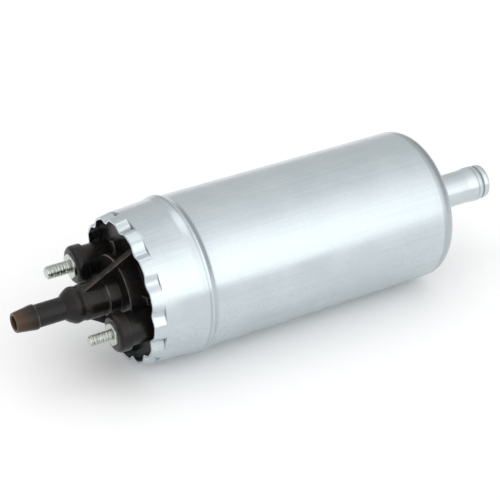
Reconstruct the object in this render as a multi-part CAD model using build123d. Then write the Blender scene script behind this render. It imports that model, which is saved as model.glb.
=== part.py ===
from build123d import *
import os
from math import cos, sin, sqrt, radians, hypot

# An inline electric fuel pump, in millimetres.
# +X runs along the pump's axis towards the inlet, and +Z is up.
# The origin lies on the axis, at the middle of the plain tube that the bracket's clamp grips.
# The pieces are drawn with the terminals on the Y axis, and turned together at the end.

# Setting of the whole pump
terminal_clock_angle = 18.5

# Clearances and the reach of every cut beyond its face
overrun = 1.0
seat_gap = 0.05
running_gap = 0.04
slide_gap = 0.05
lift_gap = 0.1
rotor_side_gap = 0.04
mesh_gap = 0.05
magnet_air_gap = 0.6

# Case, a drawn aluminium can
case_radius = 29.0
case_wall = 1.0
main_tube_length = 99.0
shoulder_radius = 5.5
bead_length = 6.6
bead_height = 0.9
bead_crest_share = 0.36
mouth_length = 13.5
mouth_drop = 0.8

# Staked rim: between two slits the metal stays round, and at each slit it is pushed in,
# a little at the slit itself and deeper at the rim's end
rim_length = 4.5
rim_drop = 0.1
rim_taper = 0.8
stake_count = 14
stake_slit_depth = 1.4
stake_end_depth = 1.7
stake_width_share = 0.68

# Inlet pipe, swaged into the end of the case
pipe_radius = 6.65
pipe_bore_radius = 5.2
pipe_length = 32.5
pipe_collar_radius = 9.0
pipe_collar_thickness = 1.5
pipe_swage_radius = 7.6
pipe_swage_thickness = 0.8
pipe_bead_radius = 7.0
pipe_bead_from_tip = 6.0
pipe_flare_length = 4.5
pipe_groove_radius = 6.4
pipe_groove_from_tip = 3.1
pipe_tip_ring_radius = 6.75
pipe_tip_ring_from_tip = 1.4
pipe_tip_radius = 6.1

# Outlet cover, moulded in dark plastic
flange_thickness = 3.1
spigot_length = 6.0
spigot_step = 3.0
spigot_wall = 2.5
cover_floor = 2.5
seal_place_share = 0.33
drum_radius = 14.2
drum_height = 6.9
boss_radius = 6.75
boss_foot_radius = 7.4
boss_foot_height = 4.5
boss_height = 15.0
boss_neck_radius = 6.45
boss_neck_length = 1.4
shoulder_bulge_length = 2.2
tail_shoulder_length = 2.8
tail_radius = 4.25
tail_length = 10.4
barb_radius = 4.65
barb_step_length = 0.5
barb_length = 7.7
barb_bulge = 0.05
barb_tip_radius = 3.7
outlet_bore_radius = 2.6
gusset_thickness = 2.0
gusset_lip_width = 0.6
gusset_groove_width = 0.35
gusset_groove_depth = 0.3
gusset_foot_from_case = 6.5
gusset_top_from_boss_end = 2.5
lug_height = 3.0
lug_width = 3.0
lug_length = 4.4
rim_lug_from_case = 11.2
rim_lug_angle = 145.5
drum_lug_from_drum = 1.8
drum_lug_angle = 45.0

# Terminals
terminal_from_case = 11.9
terminal_boss_radius = 6.2
terminal_boss_height = 10.8
terminal_collar_radius = 7.2
terminal_collar_length = 4.7
terminal_collar_round = 1.7
plate_thickness = 1.6
plate_proud = 0.8
plate_corner_cut = 0.5
stud_end_chamfer = 0.6
stud_m5_radius = 2.5
stud_m5_length = 9.2
stud_m5_plate_flats = 8.8
stud_m4_radius = 2.0
stud_m4_length = 8.4
stud_m4_plate_flats = 8.0
nut_thickness = 2.4
nut_m5_flats = 8.0
nut_m4_flats = 7.0

# Check valve in the outlet
valve_chamber_radius = 4.6
valve_chamber_length = 16.4
valve_seat_length = 3.0
valve_seat_bore_radius = 2.4
valve_seat_bevel = 0.6
poppet_radius = 3.4
poppet_thickness = 1.6
poppet_stem_radius = 1.2
poppet_stem_length = 4.5
valve_spring_radius = 3.0
valve_spring_wire = 0.7

# Brush holder
brush_plate_thickness = 3.0
bush_housing_radius = 9.0
bush_housing_length = 5.0
bush_housing_end_wall = 1.0
bush_vent_radius = 2.0
flow_hole_radius = 2.8
flow_hole_count = 4
flow_hole_from_case = 9.5
brush_box_wall = 1.2
brush_box_inner_radius = 11.8
brush_cap_thickness = 0.8

# Brushes, their springs and the suppression chokes
brush_axial = 6.0
brush_tangential = 5.0
brush_length = 9.0
brush_from_plate = 3.5
brush_spring_radius = 2.0
brush_spring_wire = 0.6
choke_radius = 3.0
choke_coil_radius = 2.6
choke_flange = 1.2
choke_length = 11.4
choke_lead_radius = 0.7

# Bushes
bush_radius = 6.0
commutator_bush_length = 6.0
pump_bush_length = 9.0

# Motor frame
flux_ring_wall = 2.0
magnet_thickness = 7.0
magnet_from_brush_plate = 20.0
magnet_half_angle = 60.0
magnet_from_discharge_plate = 13.0
clip_half_angle = 28.0
clip_arm_angle = 1.5
clip_thickness = 0.6
clip_arm_length = 4.6
clip_inset = 2.0

# Armature
shaft_radius = 4.0
shaft_end_radius = 3.0
shaft_tail_past_bush = 1.0
core_from_riser = 10.0
core_from_discharge_plate = 17.0
slot_count = 8
slot_inner_radius = 8.5
slot_depth_from_rim = 2.0
slot_half_angle = 12.0
slot_opening = 2.0
slot_liner = 0.25
slot_liner_angle = 2.0
end_turn_overhang = 0.2
end_turn_inner_radius = 5.4
end_turn_length = 7.0
commutator_radius = 9.0
commutator_length = 10.5
commutator_from_plate = 1.5
riser_radius = 11.0
riser_length = 2.0
segment_gap = 0.6
segment_gap_depth = 1.0
washer_radius = 6.4
washer_thickness = 0.8

# Pump cell, an inner and an outer toothed rotor turning in an eccentric ring
cell_clearance = 0.1
discharge_plate_thickness = 6.0
discharge_boss_length = 8.0
bush_web = 1.0
coupling_recess_radius = 8.2
coupling_recess_depth = 3.5
rotor_height = 10.0
inlet_plate_thickness = 8.0
inlet_plate_from_shoulder = 2.0
inner_tooth_count = 6
eccentricity_share = 0.1014
tooth_radius_share = 0.311
tooth_circle_inset = 2.7
points_per_tooth = 20
eccentric_ring_wall = 10.4
port_half_width = 1.5
port_half_angle = 62.0
seat_ring_from_case = 11.0
seat_ring_width = 4.0
seat_ring_slot = 6.0
cell_screw_count = 3
cell_screw_radius = 2.0
cell_screw_from_case = 7.0
cell_screw_depth = 6.0
cell_screw_head_radius = 3.2
cell_screw_head_height = 2.4
cell_screw_first_angle = 60.0

# Drive coupling between the shaft and the inner rotor
coupling_radius = 7.6
coupling_thickness = 3.0
coupling_axial_gap = 0.3
dog_inner_radius = 4.6
dog_outer_radius = 7.0
dog_half_angle = 16.0
dog_angles = (90, 270)
dog_length = 4.0
dog_gap = 0.2
dog_gap_angle = 2.0

# Relief valve in the inlet plate
relief_from_case = 7.0
relief_port_radius = 1.8
relief_port_length = 2.0
relief_chamber_radius = 3.0
relief_boss_radius = 4.4
relief_boss_length = 3.5
relief_ball_radius = 2.4
relief_plug_thickness = 1.5
relief_plug_bore_radius = 1.0
relief_spring_wire = 0.5
relief_spring_share = 0.8

# Stations along the axis, from the outlet to the inlet
bead_foot_x = -main_tube_length / 2
bead_start_x = bead_foot_x - bead_length
bead_crest_x = bead_foot_x - bead_length * bead_crest_share
cover_face_x = bead_start_x - mouth_length
shoulder_x = bead_foot_x + main_tube_length
case_end_x = shoulder_x + shoulder_radius
case_end_inside_x = case_end_x - case_wall
flange_back_x = cover_face_x + flange_thickness
cover_back_x = flange_back_x + spigot_length
hollow_floor_x = cover_face_x + cover_floor
drum_face_x = cover_face_x - drum_height
boss_end_x = drum_face_x - boss_height
tail_start_x = boss_end_x - shoulder_bulge_length - tail_shoulder_length
barb_x = tail_start_x - tail_length - barb_step_length
outlet_tip_x = barb_x - barb_length
terminal_face_x = cover_face_x - terminal_boss_height - terminal_collar_length
plate_face_x = terminal_face_x - plate_proud
valve_chamber_end_x = hollow_floor_x - valve_chamber_length
valve_seat_x = hollow_floor_x - valve_seat_length
motor_face_x = cover_back_x + brush_plate_thickness
brush_start_x = motor_face_x + brush_from_plate
bush_housing_x = cover_back_x - bush_housing_length
commutator_bush_x = bush_housing_x + bush_housing_end_wall
commutator_x = motor_face_x + commutator_from_plate
riser_x = commutator_x + commutator_length
inlet_plate_back_x = shoulder_x - inlet_plate_from_shoulder
inlet_plate_x = inlet_plate_back_x - inlet_plate_thickness
rotor_x = inlet_plate_x - rotor_height
discharge_plate_x = rotor_x - discharge_plate_thickness
coupling_recess_x = rotor_x - coupling_recess_depth
pump_bush_end_x = coupling_recess_x - bush_web
core_end_x = discharge_plate_x - core_from_discharge_plate
core_x = riser_x + riser_length + core_from_riser
magnet_x = motor_face_x + magnet_from_brush_plate
magnet_end_x = discharge_plate_x - magnet_from_discharge_plate
pipe_tip_x = case_end_x + pipe_length

# Radii that follow from the case
case_bore_radius = case_radius - case_wall
mouth_radius = case_radius - mouth_drop
spigot_radius = case_bore_radius - spigot_step
cover_hollow_radius = spigot_radius - spigot_wall
terminal_offset = case_radius - terminal_from_case
flux_ring_radius = case_bore_radius - cell_clearance
flux_ring_bore_radius = flux_ring_radius - flux_ring_wall
magnet_radius = flux_ring_bore_radius - cell_clearance
magnet_bore_radius = magnet_radius - magnet_thickness
core_radius = magnet_bore_radius - magnet_air_gap
slot_outer_radius = core_radius - slot_depth_from_rim
end_turn_radius = slot_outer_radius + end_turn_overhang
brush_cap_radius = magnet_radius
brush_back_radius = commutator_radius + lift_gap + brush_length
outer_tooth_count = inner_tooth_count + 1
outer_rotor_radius = flux_ring_radius - eccentric_ring_wall
tooth_circle_radius = outer_rotor_radius - tooth_circle_inset
tooth_radius = tooth_circle_radius * tooth_radius_share
eccentricity = tooth_circle_radius * eccentricity_share
port_radius = tooth_circle_radius - tooth_radius + eccentricity / 2
seat_ring_outer_radius = case_radius - seat_ring_from_case
seat_ring_inner_radius = seat_ring_outer_radius - seat_ring_width
cell_screw_circle = case_radius - cell_screw_from_case
relief_circle = case_radius - relief_from_case
outer_root_radius = tooth_circle_radius - tooth_radius + 2 * eccentricity + 2 * mesh_gap


def rod(start_x, end_x, radius, y=0, z=0):
    """A round bar along X."""
    bar = Cylinder(radius, end_x - start_x, align=(Align.CENTER, Align.CENTER, Align.MIN))
    return Pos(start_x, y, z) * Rot(0, 90, 0) * bar


def tube(start_x, end_x, radius, bore, y=0, z=0):
    """A round bar with a bore right through it."""
    return rod(start_x, end_x, radius, y, z) - rod(start_x - overrun, end_x + overrun, bore, y, z)


def turned(*outline):
    """A solid of revolution about X, from the lines of its half section."""
    return revolve(make_face(Curve() + list(outline)), Axis.X)


def turned_points(*points):
    """A solid of revolution about X, from the corners of its half section."""
    return revolve(make_face(Polyline(*points, close=True)), Axis.X)


def along_axis(sketch, start_x, end_x):
    """A sketch on the plane across the axis, drawn out between two stations."""
    return extrude(Plane.YZ.offset(start_x) * sketch, amount=end_x - start_x)


def polar(radius, angle):
    """A point on the plane across the axis."""
    return (radius * cos(radians(angle)), radius * sin(radians(angle)))


def sector(inner, outer, middle_angle, half_angle):
    """A piece of a flat ring between two angles."""
    low = middle_angle - half_angle
    high = middle_angle + half_angle
    outer_arc = CenterArc((0, 0), outer, low, 2 * half_angle)
    inner_arc = CenterArc((0, 0), inner, low, 2 * half_angle)
    sides = [Line(polar(inner, angle), polar(outer, angle)) for angle in (low, high)]
    return make_face(Curve() + [outer_arc, inner_arc] + sides)


def mouth_bore_radius(x):
    """Inside radius of the case's mouth, which narrows towards the rim."""
    share = (bead_start_x - x) / mouth_length
    return case_bore_radius - mouth_drop * min(max(share, 0), 1)


def rim_outline(ridge_radius, stake_depth):
    """The staked rim's closed outline: round ridges and a pushed-in dent at each slit."""
    pitch = 360 / stake_count
    dent_half_angle = pitch * stake_width_share / 2
    lines = []
    for stake in range(stake_count):
        middle = stake * pitch
        start = middle - dent_half_angle
        end = middle + dent_half_angle
        start_direction = polar(1, start + 90)
        end_direction = polar(1, end + 90)
        dent = Spline(
            (*polar(ridge_radius, start), 0),
            (*polar(ridge_radius - stake_depth, middle), 0),
            (*polar(ridge_radius, end), 0),
            tangents=[(*start_direction, 0), (*end_direction, 0)],
        )
        ridge = CenterArc((0, 0), ridge_radius, end, pitch - 2 * dent_half_angle)
        lines += [dent, ridge]
    return make_face(Curve() + lines)


def staked_rim(skin_depth):
    """What one skin of the rim encloses, from its end to the slits."""
    slit_radius = mouth_radius - rim_drop - skin_depth
    end_section = rim_outline(slit_radius - rim_taper, stake_end_depth)
    slit_section = rim_outline(slit_radius, stake_slit_depth)
    end_face = Plane.YZ.offset(cover_face_x - rim_length) * end_section
    slit_face = Plane.YZ.offset(cover_face_x) * slit_section
    return loft([end_face.face(), slit_face.face()], ruled=True)


def case_side(radius, end_radius, end_x):
    """Half section of the can's skin, from the slits to the end wall."""
    crest = (bead_crest_x, radius + bead_height)
    level = [(1, 0), (1, 0)]
    return [
        Line((cover_face_x, radius - mouth_drop), (bead_start_x, radius)),
        Spline((bead_start_x, radius), crest, tangents=level),
        Spline(crest, (bead_foot_x, radius), tangents=level),
        Line((bead_foot_x, radius), (shoulder_x, radius)),
        CenterArc((shoulder_x, radius - end_x + shoulder_x), end_x - shoulder_x, 0, 90),
        Line((end_x, radius - end_x + shoulder_x), (end_x, end_radius)),
    ]


def pump_case():
    """Drawn can with its bead, round shoulder and staked rim."""
    hole_radius = pipe_radius + seat_gap
    outside = case_side(case_radius, hole_radius, case_end_x)
    inside = case_side(case_bore_radius, hole_radius, case_end_inside_x)
    mouth_edge = Line((cover_face_x, mouth_radius), (cover_face_x, mouth_radius - case_wall))
    hole_edge = Line((case_end_inside_x, hole_radius), (case_end_x, hole_radius))
    can = turned(*outside, *inside, mouth_edge, hole_edge)
    return can + (staked_rim(0) - staked_rim(case_wall))


def inlet_pipe():
    """Hose tail with a collar inside the case, a swaged ring outside and a bead near its tip."""
    bead_x = pipe_tip_x - pipe_bead_from_tip
    flare_x = bead_x - pipe_flare_length
    groove_x = pipe_tip_x - pipe_groove_from_tip
    ring_x = pipe_tip_x - pipe_tip_ring_from_tip
    collar_x = case_end_inside_x - pipe_collar_thickness
    swage_x = case_end_x + pipe_swage_thickness
    collar = Polyline(
        (collar_x, pipe_bore_radius),
        (collar_x, pipe_collar_radius),
        (case_end_inside_x, pipe_collar_radius),
        (case_end_inside_x, pipe_radius),
        (case_end_x, pipe_radius),
        (case_end_x, pipe_swage_radius),
        (swage_x, pipe_swage_radius),
        (swage_x, pipe_radius),
        (flare_x, pipe_radius),
    )
    end = Spline(
        (flare_x, pipe_radius),
        (bead_x, pipe_bead_radius),
        (groove_x, pipe_groove_radius),
        (ring_x, pipe_tip_ring_radius),
        (pipe_tip_x, pipe_tip_radius),
        tangents=[(1, 0), (0, -1)],
    )
    inside = Polyline(
        (pipe_tip_x, pipe_tip_radius),
        (pipe_tip_x, pipe_bore_radius),
        (collar_x, pipe_bore_radius),
    )
    return turned(collar, end, inside)


def outlet_tail():
    """The outlet's boss, its bulging shoulder, the hose tail and the barb, in one outline."""
    neck_x = boss_end_x + boss_neck_length
    bulge_x = boss_end_x - shoulder_bulge_length / 2
    foot_x = drum_face_x - boss_foot_height
    barrel = Polyline(
        (cover_face_x, 0),
        (cover_face_x, boss_foot_radius),
        (foot_x, boss_foot_radius),
        (foot_x, boss_radius),
        (neck_x + boss_neck_length, boss_radius),
    )
    shoulder = Spline(
        (neck_x + boss_neck_length, boss_radius),
        (neck_x, boss_neck_radius),
        (bulge_x, boss_radius),
        (tail_start_x, tail_radius),
        tangents=[(-1, 0), (-1, 0)],
    )
    tail = Polyline(
        (tail_start_x, tail_radius),
        (barb_x + barb_step_length, tail_radius),
        (barb_x, barb_radius),
    )
    tip_edge = barb_tip_radius - outlet_bore_radius
    barb = ThreePointArc(
        (barb_x, barb_radius),
        (barb_x - barb_length / 2, (barb_radius + barb_tip_radius) / 2 + barb_bulge),
        (outlet_tip_x + tip_edge / 2, barb_tip_radius),
    )
    end = Polyline(
        (outlet_tip_x + tip_edge / 2, barb_tip_radius),
        (outlet_tip_x, barb_tip_radius - tip_edge / 2),
        (outlet_tip_x, 0),
        (cover_face_x, 0),
    )
    return turned(barrel, shoulder, tail, barb, end)


def terminal_post(side):
    """Round post that carries one terminal, with a thicker collar at its end."""
    collar_x = cover_face_x - terminal_boss_height
    rounded_x = terminal_face_x + terminal_collar_round
    inner_edge = terminal_collar_radius - terminal_collar_round
    outline = Polyline(
        (hollow_floor_x, 0),
        (hollow_floor_x, terminal_boss_radius),
        (collar_x, terminal_boss_radius),
        (collar_x, terminal_collar_radius),
        (rounded_x, terminal_collar_radius),
    )
    rounding = CenterArc((rounded_x, inner_edge), terminal_collar_round, 90, 90)
    face = Polyline((terminal_face_x, inner_edge), (terminal_face_x, 0), (hollow_floor_x, 0))
    return Pos(0, side * terminal_offset, 0) * turned(outline, rounding, face)


def gusset(side):
    """Thin triangular rib from the outlet boss down to the flange, grooved along its slope."""
    top_x = boss_end_x + gusset_top_from_boss_end
    foot_z = case_radius - gusset_foot_from_case
    corners = Polyline(
        (top_x, 0),
        (top_x, side * boss_radius),
        (cover_face_x, side * foot_z),
        (cover_face_x, 0),
        close=True,
    )
    rib = extrude(Plane.XZ * make_face(corners), amount=gusset_thickness / 2, both=True)
    groove_corners = Polyline(
        (top_x, side * (boss_radius + overrun)),
        (cover_face_x, side * (foot_z + overrun)),
        (cover_face_x, side * (foot_z - gusset_groove_depth)),
        (top_x, side * (boss_radius - gusset_groove_depth)),
        close=True,
    )
    groove = extrude(Plane.XZ * make_face(groove_corners), amount=gusset_groove_width)
    groove_start = gusset_lip_width + gusset_groove_width - gusset_thickness / 2
    return rib - Pos(0, groove_start, 0) * groove


def lug(radius, angle):
    """Small moulded block that stands on the flange."""
    block = Box(lug_height, lug_length, lug_width, align=(Align.MAX, Align.CENTER, Align.CENTER))
    return Rot(angle, 0, 0) * Pos(cover_face_x, radius, 0) * block


def plate_section(flats):
    """Hexagon across the axis, with its corners cut."""
    blunt = Circle(flats / sqrt(3) - plate_corner_cut / 2)
    return RegularPolygon(flats / 2, 6, major_radius=False) & blunt


def outlet_cover():
    """Moulded cover: flange, spigot, drum, outlet tail, terminal posts, gussets and lugs."""
    flange_radius = mouth_bore_radius(cover_face_x) - seat_gap
    body = rod(cover_face_x, flange_back_x, flange_radius)
    body += rod(flange_back_x, cover_back_x, spigot_radius)
    body += rod(drum_face_x, cover_face_x, drum_radius)
    body += outlet_tail()
    body += terminal_post(1) + terminal_post(-1)
    body += gusset(1) + gusset(-1)
    body += lug(case_radius - rim_lug_from_case, rim_lug_angle)
    body += lug(drum_radius + drum_lug_from_drum, drum_lug_angle)
    body -= rod(hollow_floor_x, cover_back_x + overrun, cover_hollow_radius)
    body -= rod(valve_chamber_end_x, hollow_floor_x + overrun, valve_chamber_radius)
    body -= rod(outlet_tip_x - overrun, valve_chamber_end_x + overrun, outlet_bore_radius)
    for side, radius, flats in terminals():
        y = side * terminal_offset
        body -= rod(terminal_face_x - overrun, hollow_floor_x + overrun, radius + seat_gap, y)
        recess_x = plate_face_x + plate_thickness
        pocket = Pos(y, 0) * plate_section(flats + 2 * seat_gap)
        body -= along_axis(pocket, terminal_face_x - overrun, recess_x)
    return body


def terminals():
    """Side, thread radius and plate size of the larger and the smaller terminal."""
    return [
        (1, stud_m5_radius, stud_m5_plate_flats),
        (-1, stud_m4_radius, stud_m4_plate_flats),
    ]


def terminal_stud(side, radius, length, flats):
    """Threaded stud with the blunt hexagonal plate that seats in the post's end."""
    tip_x = plate_face_x - length
    outside = turned_points(
        (tip_x, 0),
        (tip_x, radius - stud_end_chamfer),
        (tip_x + stud_end_chamfer, radius),
        (cover_back_x, radius),
        (cover_back_x, 0),
    )
    plate = along_axis(plate_section(flats), plate_face_x, plate_face_x + plate_thickness)
    return Pos(0, side * terminal_offset, 0) * (outside + plate)


def terminal_nut(side, radius, flats):
    """Nut on the stud's inner end, against the floor of the cover's hollow."""
    section = RegularPolygon(flats / 2, 6, major_radius=False) - Circle(radius + seat_gap)
    nut = along_axis(section, hollow_floor_x, hollow_floor_x + nut_thickness)
    return Pos(0, side * terminal_offset, 0) * nut


def cover_seal():
    """Rubber ring between the cover's spigot and the case."""
    middle_x = flange_back_x + spigot_length * seal_place_share
    gap = mouth_bore_radius(middle_x) - spigot_radius
    section_radius = gap / 2 - seat_gap
    section = Pos(middle_x, spigot_radius + gap / 2) * Circle(section_radius)
    return revolve(section, Axis.X)


def valve_seat():
    """Ring pressed into the valve chamber, with a bevelled bore."""
    return turned_points(
        (valve_seat_x, valve_seat_bore_radius),
        (valve_seat_x, valve_chamber_radius - seat_gap / 2),
        (hollow_floor_x, valve_chamber_radius - seat_gap / 2),
        (hollow_floor_x, valve_seat_bore_radius + valve_seat_bevel),
        (hollow_floor_x - valve_seat_bevel, valve_seat_bore_radius),
    )


def valve_poppet():
    """Disc and guide stem that close the outlet against backflow."""
    face_x = valve_seat_x - seat_gap
    back_x = face_x - poppet_thickness
    return rod(back_x, face_x, poppet_radius) + rod(back_x - poppet_stem_length, back_x, poppet_stem_radius)


def valve_spring():
    """Spring round the poppet's stem, between the poppet and the end of its chamber."""
    poppet_back_x = valve_seat_x - 2 * seat_gap - poppet_thickness
    bore = valve_spring_radius - valve_spring_wire
    return tube(valve_chamber_end_x, poppet_back_x, valve_spring_radius, bore)


def brush_box(side):
    """Guide that carries one brush and the cap that its spring pushes against."""
    box_axial = brush_axial + 2 * (slide_gap + brush_box_wall)
    box_width = brush_tangential + 2 * (slide_gap + brush_box_wall)
    middle_x = brush_start_x + brush_axial / 2
    box_end_x = middle_x + box_axial / 2
    height = brush_cap_radius - brush_box_inner_radius
    middle_z = brush_box_inner_radius + height / 2
    shell = Pos((motor_face_x + box_end_x) / 2, 0, middle_z)
    shell *= Box(box_end_x - motor_face_x, box_width, height)
    hole_height = height - brush_cap_thickness
    hole_z = brush_box_inner_radius - overrun + (hole_height + overrun) / 2
    hole = Pos(middle_x, 0, hole_z)
    hole *= Box(brush_axial + 2 * slide_gap, brush_tangential + 2 * slide_gap, hole_height + overrun)
    inside_ring = shell & rod(motor_face_x, box_end_x, brush_cap_radius)
    return Rot(side, 0, 0) * (inside_ring - hole)


def brush_holder():
    """Plastic plate with the two brush guides and the housing of the commutator's bush."""
    radius = mouth_bore_radius(cover_back_x) - seat_gap
    body = rod(cover_back_x, motor_face_x, radius)
    body += rod(bush_housing_x, cover_back_x, bush_housing_radius)
    body -= rod(commutator_bush_x, motor_face_x + overrun, bush_radius + seat_gap / 2)
    body -= rod(bush_housing_x - overrun, commutator_bush_x + overrun, bush_vent_radius)
    for hole in range(flow_hole_count):
        angle = (hole + 1 / 2) * 360 / flow_hole_count
        y, z = polar(case_radius - flow_hole_from_case, angle)
        body -= rod(cover_back_x - overrun, motor_face_x + overrun, flow_hole_radius, y, z)
    for side in (1, -1):
        lead_hole = choke_lead_radius + seat_gap
        y = side * terminal_offset
        body -= rod(cover_back_x - overrun, motor_face_x + overrun, lead_hole, y)
    return body + brush_box(0) + brush_box(180)


def commutator_bush():
    """Sintered bush of the shaft's commutator end."""
    end_x = commutator_bush_x + commutator_bush_length
    return tube(commutator_bush_x, end_x, bush_radius, shaft_radius + running_gap)


def brush(turn):
    """Carbon brush whose tip is hollowed to the commutator's radius."""
    block = Box(brush_axial, brush_tangential, brush_back_radius, align=(Align.MIN, Align.CENTER, Align.MIN))
    tip = rod(brush_start_x - overrun, brush_start_x + brush_axial + overrun, commutator_radius + lift_gap)
    return Rot(turn, 0, 0) * (Pos(brush_start_x, 0, 0) * block - tip)


def brush_spring(turn):
    """Spring that pushes a brush in, between its back and the guide's cap."""
    start = brush_back_radius + seat_gap
    length = brush_cap_radius - brush_cap_thickness - seat_gap - start
    upright = (Align.CENTER, Align.CENTER, Align.MIN)
    outside = Cylinder(brush_spring_radius, length, align=upright)
    inside = Cylinder(brush_spring_radius - brush_spring_wire, length, align=upright)
    return Rot(turn, 0, 0) * Pos(brush_start_x + brush_axial / 2, 0, start) * (outside - inside)


def choke(side):
    """Suppression choke: a ferrite rod with its coil, and the lead to the terminal."""
    end_x = motor_face_x + choke_length
    outline = turned_points(
        (cover_back_x, 0),
        (cover_back_x, choke_lead_radius),
        (motor_face_x, choke_lead_radius),
        (motor_face_x, choke_radius),
        (motor_face_x + choke_flange, choke_radius),
        (motor_face_x + choke_flange, choke_coil_radius),
        (end_x - choke_flange, choke_coil_radius),
        (end_x - choke_flange, choke_radius),
        (end_x, choke_radius),
        (end_x, 0),
    )
    return Pos(0, side * terminal_offset, 0) * outline


def flux_ring():
    """Steel tube that carries the magnets and closes their circuit."""
    return tube(motor_face_x, discharge_plate_x, flux_ring_radius, flux_ring_bore_radius)


def magnet(middle_angle):
    """Ferrite shell magnet."""
    section = sector(magnet_bore_radius, magnet_radius, middle_angle, magnet_half_angle)
    return along_axis(section, magnet_x, magnet_end_x)


def magnet_clip(middle_angle):
    """Spring clip that pushes the two magnets apart and against the flux ring."""
    section = sector(magnet_radius - clip_thickness, magnet_radius, middle_angle, clip_half_angle)
    for side in (1, -1):
        arm_angle = middle_angle + side * (clip_half_angle - clip_arm_angle / 2)
        section += sector(magnet_radius - clip_arm_length, magnet_radius, arm_angle, clip_arm_angle / 2)
    return along_axis(section, magnet_x + clip_inset, magnet_end_x - clip_inset)


def shaft():
    """Steel shaft, stepped down where it enters the coupling and the inner rotor."""
    start_x = commutator_bush_x + shaft_tail_past_bush
    step_x = coupling_recess_x + coupling_axial_gap / 2
    end_x = inlet_plate_x - shaft_tail_past_bush
    return rod(start_x, step_x, shaft_radius) + rod(step_x, end_x, shaft_end_radius)


def armature_core():
    """Laminated core with its winding slots."""
    section = Circle(core_radius) - Circle(shaft_radius + seat_gap / 2)
    opening = core_radius + overrun - slot_inner_radius
    for slot in range(slot_count):
        angle = slot * 360 / slot_count
        section -= sector(slot_inner_radius, slot_outer_radius, angle, slot_half_angle)
        mouth = Pos(slot_inner_radius + opening / 2, 0) * Rectangle(opening, slot_opening)
        section -= Rot(0, 0, angle) * mouth
    return along_axis(section, core_x, core_end_x)


def armature_windings():
    """Copper windings: the filled slots and the bundles of end turns."""
    body = turned_points(
        (core_x, end_turn_inner_radius),
        (core_x, end_turn_radius),
        (core_x - end_turn_length / 2, end_turn_radius),
        (riser_x + riser_length + seat_gap, riser_radius),
        (riser_x + riser_length + seat_gap, end_turn_inner_radius),
    )
    body += turned_points(
        (core_end_x, end_turn_inner_radius),
        (core_end_x, end_turn_radius),
        (core_end_x + end_turn_length / 2, end_turn_radius),
        (core_end_x + end_turn_length, slot_outer_radius - slot_opening),
        (core_end_x + end_turn_length, end_turn_inner_radius),
    )
    fill_half_angle = slot_half_angle - slot_liner_angle
    for slot in range(slot_count):
        inner = slot_inner_radius + slot_liner
        fill = sector(inner, slot_outer_radius - slot_liner, slot * 360 / slot_count, fill_half_angle)
        body += along_axis(fill, core_x - slot_liner, core_end_x + slot_liner)
    return body


def commutator():
    """Barrel commutator with its risers, cut into segments."""
    bore = shaft_radius + seat_gap / 2
    body = tube(commutator_x, riser_x, commutator_radius, bore)
    body += tube(riser_x, riser_x + riser_length, riser_radius, bore)
    reach = riser_radius + overrun
    length = commutator_length + riser_length + 2 * overrun
    for gap in range(slot_count):
        angle = (gap + 1 / 2) * 360 / slot_count
        cutter = Box(length, reach, segment_gap, align=(Align.MIN, Align.MIN, Align.CENTER))
        depth_y = commutator_radius - segment_gap_depth
        body -= Rot(angle, 0, 0) * Pos(commutator_x - overrun, depth_y, 0) * cutter
    return body


def thrust_washers():
    """Washers at both ends of the armature."""
    bore = shaft_radius + seat_gap
    commutator_washer_x = commutator_x - washer_thickness - seat_gap
    bush_face_x = discharge_plate_x - discharge_boss_length
    pump_washer_x = bush_face_x - washer_thickness - 2 * seat_gap
    body = tube(commutator_washer_x, commutator_washer_x + washer_thickness, washer_radius, bore)
    body += tube(pump_washer_x, pump_washer_x + washer_thickness, washer_radius, bore)
    return body


def pump_bush():
    """Sintered bush of the shaft's pump end."""
    return tube(pump_bush_end_x - pump_bush_length, pump_bush_end_x, bush_radius, shaft_radius + running_gap)


def screw_places():
    """Where the pump cell's screws stand on their circle."""
    angles = [cell_screw_first_angle + screw * 360 / cell_screw_count for screw in range(cell_screw_count)]
    return [polar(cell_screw_circle, angle) for angle in angles]


def kidney_port(middle_angle):
    """Arc-shaped port over the spaces between the rotors' teeth."""
    inner = port_radius - port_half_width
    return sector(inner, port_radius + port_half_width, middle_angle, port_half_angle)


def discharge_plate():
    """Plate between the pump cell and the motor, with the shaft's bush and the outlet port."""
    body = rod(discharge_plate_x, rotor_x, flux_ring_radius)
    body += rod(discharge_plate_x - discharge_boss_length, discharge_plate_x, bush_housing_radius)
    body -= rod(pump_bush_end_x - pump_bush_length - overrun, pump_bush_end_x, bush_radius + seat_gap / 2)
    body -= rod(pump_bush_end_x - overrun, rotor_x + overrun, shaft_radius + lift_gap)
    body -= rod(coupling_recess_x, rotor_x + overrun, coupling_recess_radius)
    body -= along_axis(kidney_port(90), discharge_plate_x - overrun, rotor_x + overrun)
    body -= rod(discharge_plate_x - overrun, rotor_x + overrun, relief_port_radius, relief_circle)
    for y, z in screw_places():
        body -= rod(discharge_plate_x - overrun, rotor_x + overrun, cell_screw_radius + seat_gap, y, z)
    return body


def eccentric_ring():
    """Ring whose off-centre bore carries the outer rotor."""
    body = rod(rotor_x, inlet_plate_x, flux_ring_radius)
    bore = outer_rotor_radius + running_gap
    body -= rod(rotor_x - overrun, inlet_plate_x + overrun, bore, -eccentricity)
    body -= rod(rotor_x - overrun, inlet_plate_x + overrun, relief_port_radius, relief_circle)
    for y, z in screw_places():
        body -= rod(rotor_x - overrun, inlet_plate_x + overrun, cell_screw_radius + seat_gap, y, z)
    return body


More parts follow.
